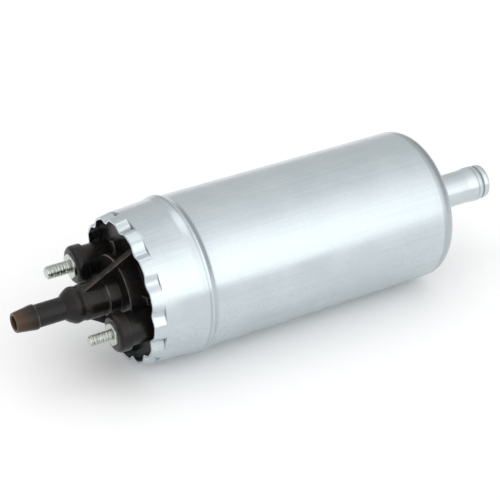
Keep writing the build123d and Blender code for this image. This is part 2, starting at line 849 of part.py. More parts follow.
def inlet_plate():
    """Plate on the inlet side, with its port, the relief valve's chamber and a seat ring."""
    relief_end_x = inlet_plate_back_x + relief_boss_length
    body = rod(inlet_plate_x, inlet_plate_back_x, flux_ring_radius)
    ring = tube(inlet_plate_back_x, case_end_inside_x, seat_ring_outer_radius, seat_ring_inner_radius)
    middle_x = (inlet_plate_back_x + case_end_inside_x) / 2
    notch = Box(case_end_inside_x - inlet_plate_back_x, 3 * case_radius, seat_ring_slot)
    body += ring - Pos(middle_x, 0, 0) * notch
    body += rod(inlet_plate_back_x, relief_end_x, relief_boss_radius, relief_circle)
    body -= along_axis(kidney_port(270), inlet_plate_x - overrun, inlet_plate_back_x + overrun)
    body -= rod(inlet_plate_x - overrun, relief_end_x, relief_port_radius, relief_circle)
    chamber_x = inlet_plate_x + relief_port_length
    body -= rod(chamber_x, relief_end_x + overrun, relief_chamber_radius, relief_circle)
    screw_end_x = inlet_plate_x + cell_screw_depth
    for y, z in screw_places():
        body -= rod(inlet_plate_x - overrun, screw_end_x, cell_screw_radius + seat_gap, y, z)
    return body


def cell_screws():
    """Screws that hold the pump cell's plates together."""
    body = Part()
    for y, z in screw_places():
        tip_x = inlet_plate_x + cell_screw_depth - seat_gap
        screw = rod(discharge_plate_x, tip_x, cell_screw_radius, y, z)
        head_x = discharge_plate_x - cell_screw_head_height
        body += screw + rod(head_x, discharge_plate_x, cell_screw_head_radius, y, z)
    return body


def inner_rotor_point(share):
    """A point of the inner rotor: the tooth circle's path, set in by the tooth's radius."""
    angle = share * 360
    turns = outer_tooth_count * angle
    y = tooth_circle_radius * cos(radians(angle)) - eccentricity * cos(radians(turns))
    z = tooth_circle_radius * sin(radians(angle)) - eccentricity * sin(radians(turns))
    sway = outer_tooth_count * eccentricity
    slope_y = sway * sin(radians(turns)) - tooth_circle_radius * sin(radians(angle))
    slope_z = tooth_circle_radius * cos(radians(angle)) - sway * cos(radians(turns))
    inset = (tooth_radius + mesh_gap) / hypot(slope_y, slope_z)
    return (y - slope_z * inset, z + slope_y * inset)


def inner_rotor():
    """Driven rotor whose lobes roll along the outer rotor's round teeth."""
    count = inner_tooth_count * points_per_tooth
    outline = Spline(*[inner_rotor_point(point / count) for point in range(count)], periodic=True)
    start_x = rotor_x + rotor_side_gap
    end_x = inlet_plate_x - rotor_side_gap
    body = along_axis(make_face(outline), start_x, end_x)
    body -= rod(start_x - overrun, end_x + overrun, shaft_end_radius + seat_gap)
    for middle_angle in dog_angles:
        half_angle = dog_half_angle + dog_gap_angle
        slot = sector(dog_inner_radius - dog_gap, dog_outer_radius + dog_gap, middle_angle, half_angle)
        body -= along_axis(slot, start_x - overrun, rotor_x + dog_length + dog_gap)
    return body


def outer_rotor():
    """Outer rotor: a ring with one round tooth more than the inner rotor has lobes."""
    hole = Circle(outer_root_radius)
    for tooth in range(outer_tooth_count):
        place = polar(tooth_circle_radius, tooth * 360 / outer_tooth_count)
        hole -= Pos(*place) * Circle(tooth_radius)
    section = Pos(-eccentricity, 0) * (Circle(outer_rotor_radius) - hole)
    return along_axis(section, rotor_x + rotor_side_gap, inlet_plate_x - rotor_side_gap)


def drive_coupling():
    """Disc on the shaft with two dogs that turn the inner rotor."""
    start_x = coupling_recess_x + coupling_axial_gap
    face_x = start_x + coupling_thickness - coupling_axial_gap
    body = rod(start_x, face_x, coupling_radius)
    for middle_angle in dog_angles:
        dog = sector(dog_inner_radius, dog_outer_radius, middle_angle, dog_half_angle)
        body += along_axis(dog, face_x, rotor_x + dog_length)
    return body - rod(start_x - overrun, face_x + overrun, shaft_end_radius + seat_gap / 2)


def relief_ball_x():
    """Station of the relief ball's centre when it is seated on its port."""
    seat = sqrt(relief_ball_radius**2 - relief_port_radius**2)
    return inlet_plate_x + relief_port_length + seat + seat_gap


def relief_ball():
    """Ball that closes the relief port."""
    return Pos(relief_ball_x(), relief_circle, 0) * Sphere(relief_ball_radius)


def relief_plug_x():
    """Station of the relief plug's inner face."""
    return inlet_plate_back_x + relief_boss_length - relief_plug_thickness


def relief_spring():
    """Spring that holds the relief ball on its seat."""
    outside = relief_ball_radius * relief_spring_share
    reach = sqrt(relief_ball_radius**2 - (outside - relief_spring_wire)**2)
    start_x = relief_ball_x() + reach + seat_gap
    return tube(start_x, relief_plug_x(), outside, outside - relief_spring_wire, relief_circle)


def relief_plug():
    """Drilled plug that carries the relief spring."""
    end_x = inlet_plate_back_x + relief_boss_length
    radius = relief_chamber_radius - seat_gap / 2
    return tube(relief_plug_x(), end_x, radius, relief_plug_bore_radius, relief_circle)


def parts():
    """Every piece of the pump, under the name of its node."""
    return {
        "pump_case": pump_case(),
        "inlet_pipe": inlet_pipe(),
        "outlet_cover": outlet_cover(),
        "cover_seal": cover_seal(),
        "terminal_stud_m5": terminal_stud(1, stud_m5_radius, stud_m5_length, stud_m5_plate_flats),
        "terminal_stud_m4": terminal_stud(-1, stud_m4_radius, stud_m4_length, stud_m4_plate_flats),
        "terminal_nut_m5": terminal_nut(1, stud_m5_radius, nut_m5_flats),
        "terminal_nut_m4": terminal_nut(-1, stud_m4_radius, nut_m4_flats),
        "valve_seat": valve_seat(),
        "valve_poppet": valve_poppet(),
        "valve_spring": valve_spring(),
        "brush_holder": brush_holder(),
        "commutator_bush": commutator_bush(),
        "brush_upper": brush(0),
        "brush_lower": brush(180),
        "brush_spring_upper": brush_spring(0),
        "brush_spring_lower": brush_spring(180),
        "choke_positive": choke(1),
        "choke_negative": choke(-1),
        "flux_ring": flux_ring(),
        "magnet_right": magnet(0),
        "magnet_left": magnet(180),
        "magnet_clip_upper": magnet_clip(90),
        "magnet_clip_lower": magnet_clip(270),
        "shaft": shaft(),
        "armature_core": armature_core(),
        "armature_windings": armature_windings(),
        "commutator": commutator(),
        "thrust_washers": thrust_washers(),
        "pump_bush": pump_bush(),
        "discharge_plate": discharge_plate(),
        "eccentric_ring": eccentric_ring(),
        "inlet_plate": inlet_plate(),
        "cell_screws": cell_screws(),
        "inner_rotor": inner_rotor(),
        "outer_rotor": outer_rotor(),
        "drive_coupling": drive_coupling(),
        "relief_ball": relief_ball(),
        "relief_spring": relief_spring(),
        "relief_plug": relief_plug(),
    }


os.makedirs("parts", exist_ok=True)
for name, solid in parts().items():
    export_step(Rot(terminal_clock_angle, 0, 0) * solid, f"parts/{name}.step")
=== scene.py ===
"""Looks of an inline electric fuel pump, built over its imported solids, in metres."""
import logging
from dataclasses import dataclass
from enum import Enum
from math import acos, cos, pi, radians, sin, sqrt, tau
from typing import Iterable, Sequence, Union

import bmesh
import bpy
from mathutils import Matrix, Vector


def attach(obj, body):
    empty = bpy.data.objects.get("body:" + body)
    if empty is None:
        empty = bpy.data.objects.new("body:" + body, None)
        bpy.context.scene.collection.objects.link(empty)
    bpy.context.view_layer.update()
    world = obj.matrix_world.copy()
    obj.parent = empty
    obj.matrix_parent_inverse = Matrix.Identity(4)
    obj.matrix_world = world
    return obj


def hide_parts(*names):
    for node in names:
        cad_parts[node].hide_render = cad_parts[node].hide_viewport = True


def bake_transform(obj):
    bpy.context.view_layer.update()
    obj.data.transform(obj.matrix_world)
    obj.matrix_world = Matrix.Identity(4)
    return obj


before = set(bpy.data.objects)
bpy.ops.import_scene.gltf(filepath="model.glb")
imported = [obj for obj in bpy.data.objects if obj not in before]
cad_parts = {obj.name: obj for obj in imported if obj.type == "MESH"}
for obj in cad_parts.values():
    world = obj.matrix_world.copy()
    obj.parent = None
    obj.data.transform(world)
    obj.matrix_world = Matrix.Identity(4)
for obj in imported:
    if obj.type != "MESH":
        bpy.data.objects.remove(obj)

Piece = bpy.types.Object
Material = bpy.types.Material
Corner = bmesh.types.BMVert
Point = tuple[float, float]
Place = tuple[float, float, float]
Colour = tuple[float, float, float]
Band = tuple[float, float, float]

LOG = logging.getLogger("fuel_pump")

# The cover and the stakes are turned about the pump's axis by this angle, in degrees
COVER_TURN = 18.5
CLOCK = Matrix.Rotation(radians(COVER_TURN), 4, "X")
ALONG_X = Matrix.Rotation(pi / 2, 4, "Y")
IN_PLACE = Matrix.Identity(4)

# Corners closer together than this are merged
WELD = 1e-7

# Lengths count as at least this, so that nothing is divided by zero
SHORTEST = 1e-9

# Edges that turn by more than this, in degrees, stay sharp, or are rounded in EDGE_STEPS pieces
SHARP_FROM = 32.0
EDGE_STEPS = 3

# A corner starts to take the lighter edge, partly wear and partly painted highlight, at the first
# bend, in radians per metre, and takes it fully at the second
SHEEN_AND_WEAR_FROM = 700.0
SHEEN_AND_WEAR_TO = 2000.0
SHEEN_AND_WEAR_EDGES = "sheen_and_wear_edges"

# Numbers of the Mix node's colour sockets
MIX_FIRST, MIX_SECOND, MIX_RESULT = 6, 7, 2

# A noise swings about this value
NOISE_MIDDLE = 0.5

# Bands of the wave texture repeat after tau / WAVE_RATE of its scaled coordinates
WAVE_RATE = 20.0


# Shader building

Operand = Union["Value", float]


class Value:
    """A shader socket that can be added, subtracted, multiplied and divided."""

    def __init__(self, graph: "Graph", socket: bpy.types.NodeSocket | None) -> None:
        """Keep the socket and the graph that it belongs to.

        Args:
            graph: The graph that new nodes are added to.
            socket: The output socket that carries the value, if the node has one.
        """
        self.graph = graph
        self.socket = socket

    def _math(self, operation: str, first: Operand, second: Operand) -> "Value":
        """Add a Math node."""
        return self.graph.add("ShaderNodeMath", {"operation": operation}, {0: first, 1: second})

    def __add__(self, other: Operand) -> "Value":
        """Return self + other."""
        return self._math("ADD", self, other)

    def __radd__(self, other: Operand) -> "Value":
        """Return other + self."""
        return self._math("ADD", other, self)

    def __sub__(self, other: Operand) -> "Value":
        """Return self - other."""
        return self._math("SUBTRACT", self, other)

    def __rsub__(self, other: Operand) -> "Value":
        """Return other - self."""
        return self._math("SUBTRACT", other, self)

    def __mul__(self, other: Operand) -> "Value":
        """Return self * other."""
        return self._math("MULTIPLY", self, other)

    def __rmul__(self, other: Operand) -> "Value":
        """Return other * self."""
        return self._math("MULTIPLY", other, self)

    def __truediv__(self, other: Operand) -> "Value":
        """Return self / other."""
        return self._math("DIVIDE", self, other)

    def __rtruediv__(self, other: Operand) -> "Value":
        """Return other / self."""
        return self._math("DIVIDE", other, self)

    def clamped(self) -> "Value":
        """Return the value kept between 0 and 1."""
        return self.graph.add("ShaderNodeClamp", {}, {"Value": self})


class Detail(Enum):
    """How fine a noise is: its octaves and the strength of the finer ones."""

    SOFT = (2.0, 0.55)
    EVEN = (3.0, 0.55)
    LINES = (3.0, 0.6)
    RICH = (4.0, 0.6)


class Graph:
    """The node tree of one material or world."""

    def __init__(self, owner: Material | bpy.types.World) -> None:
        """Empty the owner's node tree and keep it.

        Args:
            owner: The material or world that the nodes are for.
        """
        owner.use_nodes = True
        self.tree = owner.node_tree
        self.tree.nodes.clear()

    def add(
        self,
        kind: str,
        settings: dict[str, object] | None = None,
        inputs: dict[str | int, object] | None = None,
        output: str | int = 0,
    ) -> Value:
        """Add a node, set it up and link it.

        Args:
            kind: The node's type.
            settings: Properties to set first; "ramp" holds a ramp's stops.
            inputs: Values or links, by socket name or number.
            output: The output socket to return.

        Returns:
            The chosen output as a Value.
        """
        node = self.tree.nodes.new(kind)
        for name, setting in (settings or {}).items():
            if name == "ramp":
                self._set_ramp(node, setting)
            else:
                setattr(node, name, setting)
        for key, given in (inputs or {}).items():
            socket = node.inputs[key]
            if isinstance(given, Value):
                self.tree.links.new(given.socket, socket)
            else:
                socket.default_value = given
        return Value(self, node.outputs[output] if node.outputs else None)

    def _set_ramp(self, node: bpy.types.Node, stops: Sequence[Point]) -> None:
        """Give a ramp node its stops.

        Args:
            node: The ramp node.
            stops: The place and the grey level of each stop.
        """
        elements = node.color_ramp.elements
        while len(elements) < len(stops):
            elements.new(1.0)
        for element, (place, level) in zip(elements, stops):
            element.position = place
            element.color = (level, level, level, 1.0)

    def mix(self, share: Operand, first: Value | Colour, second: Value | Colour) -> Value:
        """Blend two colours.

        Args:
            share: How much of the second colour shows, from 0 to 1.
            first: The first colour.
            second: The second colour.

        Returns:
            The blended colour.
        """
        tones = [tone if isinstance(tone, Value) else (*tone, 1.0) for tone in (first, second)]
        inputs = {0: share, MIX_FIRST: tones[0], MIX_SECOND: tones[1]}
        return self.add("ShaderNodeMix", {"data_type": "RGBA"}, inputs, MIX_RESULT)

    def place(self, scale: Sequence[float] = (1.0, 1.0, 1.0)) -> Value:
        """Return the object's own coordinates, each axis multiplied by its scale."""
        coordinates = self.add("ShaderNodeTexCoord", output="Object")
        return self.add("ShaderNodeMapping", {}, {"Vector": coordinates, "Scale": scale})

    def along(self, where: Value) -> Value:
        """Return the X part of coordinates."""
        return self.add("ShaderNodeSeparateXYZ", {}, {"Vector": where}, "X")

    def noise(self, where: Value, scale: float, detail: Detail = Detail.EVEN) -> Value:
        """Return a noise value from 0 to 1.

        Args:
            where: Coordinates to read.
            scale: Features per metre of the coordinates.
            detail: How fine the noise is.

        Returns:
            The noise.
        """
        octaves, rough = detail.value
        inputs = {"Vector": where, "Scale": scale, "Detail": octaves, "Roughness": rough}
        return self.add("ShaderNodeTexNoise", {}, inputs)

    def ramp(self, value: Value, *stops: Point) -> Value:
        """Return a value passed through a ramp of grey levels."""
        return self.add("ShaderNodeValToRGB", {"ramp": stops}, {"Fac": value})


@dataclass(frozen=True)
class Finish:
    """A surface finish, from two tones in soft patches, a grain and a sheen."""

    name: str
    tone: Colour
    second_tone: Colour
    roughness: float
    metallic: float = 1.0
    roughness_spread: float = 0.1
    patch_scale: float = 60.0
    patch_stops: tuple[Point, ...] = ((0.3, 0.0), (0.7, 1.0))
    grain_scale: float = 2600.0
    grain_depth: float = 0.00001
    grain_stretch: Place = (1.0, 1.0, 1.0)
    fine_grain: float = 3.1
    coat: float = 0.0
    coat_roughness: float = 0.2
    specular: float = 0.5
    # Tone of the lighter edges, partly wear and partly a painted highlight, and the noise that
    # breaks them up
    sheen_and_wear_tone: Colour | None = None
    edge_break_scale: float = 190.0
    edge_break_stops: tuple[Point, ...] = ((0.4, 0.25), (0.6, 1.0))

    def tone_of(self, graph: Graph, patches: Value) -> Value:
        """Return the base colour, from the material's graph and its patches from 0 to 1."""
        return graph.mix(patches, self.tone, self.second_tone)

    def height_of(self, graph: Graph, grain: Value) -> Value:
        """Return the height of the surface's detail, from the grain from 0 to 1."""
        return grain

    def build(self) -> Material:
        """Make the material.

        Returns:
            The finished material.
        """
        material = bpy.data.materials.new(self.name)
        graph = Graph(material)
        patches = graph.ramp(graph.noise(graph.place(), self.patch_scale), *self.patch_stops)
        stretched = graph.place(self.grain_stretch)
        grain = graph.noise(stretched, self.grain_scale, Detail.RICH)
        fine = graph.noise(stretched, self.grain_scale * self.fine_grain, Detail.SOFT)
        roughness = self.roughness
        for change in (patches, fine):
            roughness = roughness + (change - NOISE_MIDDLE) * self.roughness_spread
        tone = self.tone_of(graph, patches)
        # Corners are mixed towards a lighter tone that is partly wear and partly a painted
        # highlight, broken up by a noise
        if self.sheen_and_wear_tone is not None:
            edges = graph.add("ShaderNodeAttribute", {"attribute_name": SHEEN_AND_WEAR_EDGES}, {}, "Fac")
            edge_breaks = graph.noise(graph.place(), self.edge_break_scale, Detail.SOFT)
            sheened_and_worn = (edges * graph.ramp(edge_breaks, *self.edge_break_stops)).clamped()
            tone = graph.mix(sheened_and_worn, tone, self.sheen_and_wear_tone)
        height = self.height_of(graph, grain)
        relief = {"Strength": 1.0, "Distance": self.grain_depth, "Height": height}
        surface = {
            "Base Color": tone,
            "Metallic": self.metallic,
            "Roughness": roughness.clamped(),
            "Coat Weight": self.coat,
            "Coat Roughness": self.coat_roughness,
            "Specular IOR Level": self.specular,
            "Normal": graph.add("ShaderNodeBump", {}, relief),
        }
        shader = graph.add("ShaderNodeBsdfPrincipled", {}, surface)
        graph.add("ShaderNodeOutputMaterial", {}, {"Surface": shader})
        return material


@dataclass(frozen=True)
class DrawnAluminium(Finish):
    """Aluminium with faint drawing lines along the axis, small specks and bands of painted shade.
    """

    patch_share: float = 0.45
    line_stretch: Place = (4.0, 260.0, 260.0)
    line_scale: float = 4.0
    line_share: float = 0.8
    line_middle: float = 0.4
    speck_scale: float = 900.0
    speck_share: float = 0.45
    # Bands along the axis are mixed towards this darker tone as painted shade at beads, grooves and
    # the shoulder
    painted_shade_tone: Colour = (0.37, 0.41, 0.43)
    painted_shade_bands: tuple[Band, ...] = ()
    painted_shade_edge: float = 0.0004
    painted_shade_specks: float = 0.5

    def tone_of(self, graph: Graph, patches: Value) -> Value:
        """Return the base colour, with lines, specks and bands of painted shade over the patches.

        Each band of painted shade is given by its start and end along the axis and by how dark it
        is.

        Args:
            graph: The material's graph.
            patches: Large soft patches from 0 to 1.

        Returns:
            The base colour.
        """
        lines = graph.noise(graph.place(self.line_stretch), self.line_scale, Detail.LINES)
        specks = graph.noise(graph.place(), self.speck_scale, Detail.SOFT)
        share = patches * self.patch_share + (lines - self.line_middle) * self.line_share
        share = share + (specks - NOISE_MIDDLE) * self.speck_share
        tone = graph.mix(share.clamped(), self.tone, self.second_tone)
        station = graph.along(graph.place())
        uneven = (specks - NOISE_MIDDLE) * self.painted_shade_specks + 1.0
        # Painted shade: each band darkens the tone, a little unevenly with the specks
        for start, end, level in self.painted_shade_bands:
            past_start = ((station - start) / self.painted_shade_edge).clamped()
            before_end = ((end - station) / self.painted_shade_edge).clamped()
            tone = graph.mix(past_start * before_end * uneven * level, tone, self.painted_shade_tone)
        return tone


@dataclass(frozen=True)
class TintedPlastic(Finish):
    """Moulded plastic that turns brown towards one end of the piece."""

    end_tone: Colour = (0.085, 0.042, 0.022)
    end_from: float = -0.1085
    end_to: float = -0.1155

    def tone_of(self, graph: Graph, patches: Value) -> Value:
        """Return the base colour, with the brown end mixed in.

        Args:
            graph: The material's graph.
            patches: Large soft patches from 0 to 1.

        Returns:
            The base colour.
        """
        body = super().tone_of(graph, patches)
        share = (graph.along(graph.place()) - self.end_from) / (self.end_to - self.end_from)
        return graph.mix(share.clamped(), body, self.end_tone)


@dataclass(frozen=True)
class BandedMetal(Finish):
    """Metal made of thin sheets or wires, as fine bands across the axis."""

    band_pitch: float = 0.001
    band_share: float = 0.8

    def height_of(self, graph: Graph, grain: Value) -> Value:
        """Return the height of the bands with the grain on them.

        Args:
            graph: The material's graph.
            grain: The fine grain from 0 to 1.

        Returns:
            The height.
        """
        settings = {"wave_type": "BANDS", "bands_direction": "X"}
        rate = tau / WAVE_RATE / self.band_pitch
        inputs = {"Vector": graph.place(), "Scale": rate, "Distortion": 0.0}
        bands = graph.add("ShaderNodeTexWave", settings, inputs)
        return bands * self.band_share + grain * (1 - self.band_share)


CASE_ALUMINIUM = DrawnAluminium(
    "case_aluminium", (0.510, 0.570, 0.600), (0.640, 0.690, 0.712), 0.27, roughness_spread=0.11,
    patch_scale=55.0, grain_scale=1500.0, grain_depth=0.000006, grain_stretch=(0.3, 1.0, 1.0),
    # Painted shade on the bead's two flanks and on the round shoulder
    painted_shade_bands=((-0.0532, -0.0521, 0.75), (-0.0516, -0.0490, 0.25), (0.0485, 0.0560, 0.65)),
)
PIPE_ALUMINIUM = DrawnAluminium(
    "pipe_aluminium", (0.535, 0.590, 0.615), (0.625, 0.675, 0.700), 0.25, roughness_spread=0.06,
    grain_scale=2400.0, grain_depth=0.000004, grain_stretch=(1.0, 0.4, 0.4),
    painted_shade_tone=(0.17, 0.20, 0.215), painted_shade_edge=0.0002,
    # Painted shade just past the bead and in the groove
    painted_shade_bands=((0.0817, 0.0824, 0.45), (0.0839, 0.0850, 0.85)),
)
COVER_PLASTIC = TintedPlastic(
    "cover_plastic", (0.0050, 0.0055, 0.0065), (0.012, 0.009, 0.007), 0.26, metallic=0.0,
    patch_scale=140.0, grain_scale=2800.0, grain_depth=0.000012, specular=0.26,
    # Its corners are painted lighter brown, partly wear and partly a painted highlight
    sheen_and_wear_tone=(0.125, 0.105, 0.09),
)
PLATED_STEEL = Finish(
    "plated_steel", (0.50, 0.53, 0.50), (0.62, 0.64, 0.60), 0.26,
    patch_scale=320.0, grain_scale=3200.0, grain_depth=0.000006,
)
SEAL_RUBBER = Finish(
    "seal_rubber", (0.018, 0.018, 0.018), (0.03, 0.03, 0.03), 0.6, metallic=0.0,
    patch_scale=150.0, grain_scale=3500.0,
)
BRASS = Finish(
    "brass", (0.62, 0.43, 0.18), (0.72, 0.55, 0.28), 0.32, roughness_spread=0.08, patch_scale=160.0,
)
INNER_PLASTIC = Finish(
    "inner_plastic", (0.62, 0.58, 0.47), (0.7, 0.66, 0.55), 0.45, metallic=0.0, patch_scale=120.0,
)
SPRING_STEEL = Finish(
    "spring_steel", (0.36, 0.36, 0.37), (0.48, 0.48, 0.48), 0.3, patch_scale=400.0,
)
BRONZE = Finish(
    "sintered_bronze", (0.42, 0.28, 0.13), (0.5, 0.35, 0.18), 0.5, roughness_spread=0.15,
    patch_scale=300.0, grain_scale=1800.0, grain_depth=0.00004,
)
CARBON = Finish(
    "carbon", (0.03, 0.03, 0.033), (0.055, 0.052, 0.05), 0.55, metallic=0.2,
    roughness_spread=0.12, patch_scale=500.0, grain_scale=2200.0, grain_depth=0.00003,
)
COPPER_WIRE = BandedMetal(
    "copper_wire", (0.48, 0.17, 0.06), (0.6, 0.25, 0.1), 0.33,
    patch_scale=200.0, grain_scale=1500.0, grain_depth=0.0001, coat=0.4, band_pitch=0.0008,
)
COMMUTATOR_COPPER = BandedMetal(
    "commutator_copper", (0.62, 0.3, 0.16), (0.7, 0.38, 0.22), 0.28, roughness_spread=0.08,
    patch_scale=260.0, grain_scale=2000.0, grain_depth=0.000012, band_pitch=0.0004,
)
PLAIN_STEEL = BandedMetal(
    "plain_steel", (0.3, 0.3, 0.31), (0.4, 0.39, 0.38), 0.42, roughness_spread=0.12,
    patch_scale=150.0, grain_scale=1700.0, grain_depth=0.00003, band_pitch=0.0005,
)
GROUND_STEEL = Finish(
    "ground_steel", (0.5, 0.5, 0.51), (0.6, 0.6, 0.6), 0.18, roughness_spread=0.06,
    patch_scale=220.0, grain_scale=3000.0,
)
SINTERED = Finish(
    "sintered_steel", (0.25, 0.25, 0.26), (0.34, 0.34, 0.34), 0.45,
    patch_scale=260.0, grain_scale=2300.0, grain_depth=0.00003,
)
PLATE_ALUMINIUM = Finish(
    "plate_aluminium", (0.5, 0.51, 0.52), (0.6, 0.61, 0.62), 0.4,
    patch_scale=120.0, grain_scale=1900.0, grain_depth=0.00002,
)
FERRITE = Finish(
    "ferrite", (0.05, 0.05, 0.054), (0.09, 0.09, 0.095), 0.6, metallic=0.3,
    roughness_spread=0.12, patch_scale=240.0, grain_scale=1600.0, grain_depth=0.00004,
)

CARRIED_OVER: dict[Finish, tuple[str, ...]] = {
    SEAL_RUBBER: ("cover_seal",),
    PLATED_STEEL: ("terminal_nut_m5", "terminal_nut_m4", "cell_screws"),
    BRASS: ("valve_seat", "relief_plug"),
    INNER_PLASTIC: ("valve_poppet", "brush_holder", "thrust_washers", "drive_coupling"),
    SPRING_STEEL: ("magnet_clip_upper", "magnet_clip_lower"),
    BRONZE: ("commutator_bush", "pump_bush"),
    CARBON: ("brush_upper", "brush_lower"),
    COPPER_WIRE: ("choke_positive", "choke_negative", "armature_windings"),
    COMMUTATOR_COPPER: ("commutator",),
    PLAIN_STEEL: ("flux_ring", "armature_core"),
    GROUND_STEEL: ("shaft", "relief_ball"),
    SINTERED: ("eccentric_ring", "inner_rotor", "outer_rotor"),
    PLATE_ALUMINIUM: ("discharge_plate", "inlet_plate"),
    FERRITE: ("magnet_right", "magnet_left"),
}


# Mesh building


def arc(centre: Point, radius: float, start: float, end: float, steps: int) -> list[Point]:
    """Return points along an arc.

    Args:
        centre: The arc's centre.
        radius: Its radius.
        start: Its first angle, in degrees.
        end: Its last angle, in degrees.
        steps: How many pieces it is cut into.

    Returns:
        The points, both ends included.
    """
    turns = [radians(start + (end - start) * step / steps) for step in range(steps + 1)]
    return [(centre[0] + radius * cos(turn), centre[1] + radius * sin(turn)) for turn in turns]


def inner_round(x: float, radius: float, size: float, steps: int) -> list[Point]:
    """Return the round in the corner where a face at x meets a wall of this radius."""
    return arc((x - size, radius + size), size, 0, -90, steps)


def outer_round(x: float, radius: float, size: float, steps: int) -> list[Point]:
    """Return the round over the edge from a wall of this radius to a face at x."""
    return arc((x + size, radius - size), size, 90, 180, steps)


def run(start: Point, end: Point, steps: int) -> list[Point]:
    """Return evenly spaced points along a straight line.

    Args:
        start: Its first point.
        end: Its last point.
        steps: How many pieces it is cut into.

    Returns:
        The points, both ends included.
    """
    length, rise = end[0] - start[0], end[1] - start[1]
    shares = [step / steps for step in range(steps + 1)]
    return [(start[0] + length * s, start[1] + rise * s) for s in shares]


def ease(start: Point, end: Point, steps: int) -> list[Point]:
    """Return points along a smooth S that is level at both ends.

    Args:
        start: Its first point.
        end: Its last point.
        steps: How many pieces it is cut into.

    Returns:
        The points, both ends included.
    """
    length, rise = end[0] - start[0], end[1] - start[1]
    shares = [step / steps for step in range(steps + 1)]
    return [(start[0] + length * s, start[1] + rise * (3 - 2 * s) * s * s) for s in shares]


def smooth(points: Sequence[Point], steps: int) -> list[Point]:
    """Return points along a smooth curve through the given ones.

    Args:
        points: Places that the curve passes through.
        steps: Pieces between two places.

    Returns:
        The points of the curve.
    """
    curve = [points[0]]
    for place in range(len(points) - 1):
        before = points[max(place - 1, 0)]
        here, there = points[place], points[place + 1]
        after = points[min(place + 2, len(points) - 1)]
        for step in range(1, steps + 1):
            s = step / steps
            curve.append(tuple(
                0.5 * (
                    2 * h
                    + (t - b) * s
                    + (2 * b - 5 * h + 4 * t - a) * s * s
                    + (3 * h - b - 3 * t + a) * s**3
                )
                for b, h, t, a in zip(before, here, there, after)
            ))
    return curve


def join(
    mesh: bmesh.types.BMesh,
    first: Sequence[Corner],
    second: Sequence[Corner],
    columns: Iterable[int],
) -> None:
    """Join two rings by faces.

    Args:
        mesh: The mesh to add to.
        first: One ring, or its single corner on the axis.
        second: The other ring, or its single corner.
        columns: Numbers of the faces to make.
    """
    for k in columns:
        after = (k + 1) % max(len(first), len(second))
        near = (first[k % len(first)], first[after % len(first)])
        far = (second[after % len(second)], second[k % len(second)])
        corners = list(dict.fromkeys(near + far))
        if len(corners) > 2:
            mesh.faces.new(corners)


def new_piece(
    name: str,
    mesh: bmesh.types.BMesh,
    finish: Material,
    sharp: float = SHARP_FROM,
) -> Piece:
    """Turn a mesh in the making into a smooth-shaded piece.

    Args:
        name: The piece's name.
        mesh: The mesh, which is used up.
        finish: The material.
        sharp: Edges that turn by more than this, in degrees, stay sharp.

    Returns:
        The new piece.
    """
    bmesh.ops.remove_doubles(mesh, verts=mesh.verts, dist=WELD)
    bmesh.ops.recalc_face_normals(mesh, faces=mesh.faces)
    data = bpy.data.meshes.new(name)
    mesh.to_mesh(data)
    mesh.free()
    data.materials.append(finish)
    data.shade_smooth()
    data.set_sharp_from_angle(angle=radians(sharp))
    piece = bpy.data.objects.new(name, data)
    bpy.context.scene.collection.objects.link(piece)
    return piece


def lathe(
    name: str,
    outline: Sequence[Point],
    segments: int,
    finish: Material,
    move: Matrix = IN_PLACE,
) -> Piece:
    """Build a solid of revolution about X.

    Args:
        name: The piece's name.
        outline: Stations and radii; its ends lie on the axis, or it is a closed loop.
        segments: Pieces round the axis.
        finish: The material.
        move: Where the solid goes.

    Returns:
        The piece.
    """
    mesh = bmesh.new()
    closed = outline[0] == outline[-1]
    rings: list[list[Corner]] = []
    for x, radius in outline[:-1] if closed else outline:
        turns = [tau * k / segments for k in range(segments if radius else 1)]
        places = [Vector((x, radius * cos(turn), radius * sin(turn))) for turn in turns]
        rings.append([mesh.verts.new(move @ place) for place in places])
    pairs = list(zip(rings, rings[1:])) + ([(rings[-1], rings[0])] if closed else [])
    for first, second in pairs:
        join(mesh, first, second, range(segments))
    return new_piece(name, mesh, finish)


def stack(name: str, loops: Sequence[Sequence[Place]], finish: Material) -> Piece:
    """Build a solid from loops of corners, joined one after another and closed at both ends.

    Args:
        name: The piece's name.
        loops: The corners of each loop.
        finish: The material.

    Returns:
        The piece.
    """
    mesh = bmesh.new()
    rings = [[mesh.verts.new(corner) for corner in loop] for loop in loops]
    mesh.faces.new(rings[0])
    mesh.faces.new(list(reversed(rings[-1])))
    for first, second in zip(rings, rings[1:]):
        join(mesh, first, second, range(len(first)))
    return new_piece(name, mesh, finish)


def keep_result(piece: Piece) -> None:
    """Replace a piece's mesh by what its modifiers make, and remove them.

    Args:
        piece: The piece.
    """
    shown = piece.evaluated_get(bpy.context.evaluated_depsgraph_get())
    made = bpy.data.meshes.new_from_object(shown)
    piece.modifiers.clear()
    piece.data = made


def rounded(piece: Piece, width: float, move: Matrix) -> Piece:
    """Round a piece's sharp edges and move it to its place.

    Args:
        piece: The piece to round.
        width: Width of the rounding.
        move: Where the piece goes.

    Returns:
        The piece.
    """
    bevel = piece.modifiers.new("rounding", "BEVEL")
    bevel.width = width
    bevel.segments = EDGE_STEPS
    bevel.limit_method = "ANGLE"
    bevel.angle_limit = radians(SHARP_FROM)
    bevel.harden_normals = False
    keep_result(piece)
    piece.data.transform(move)
    return piece


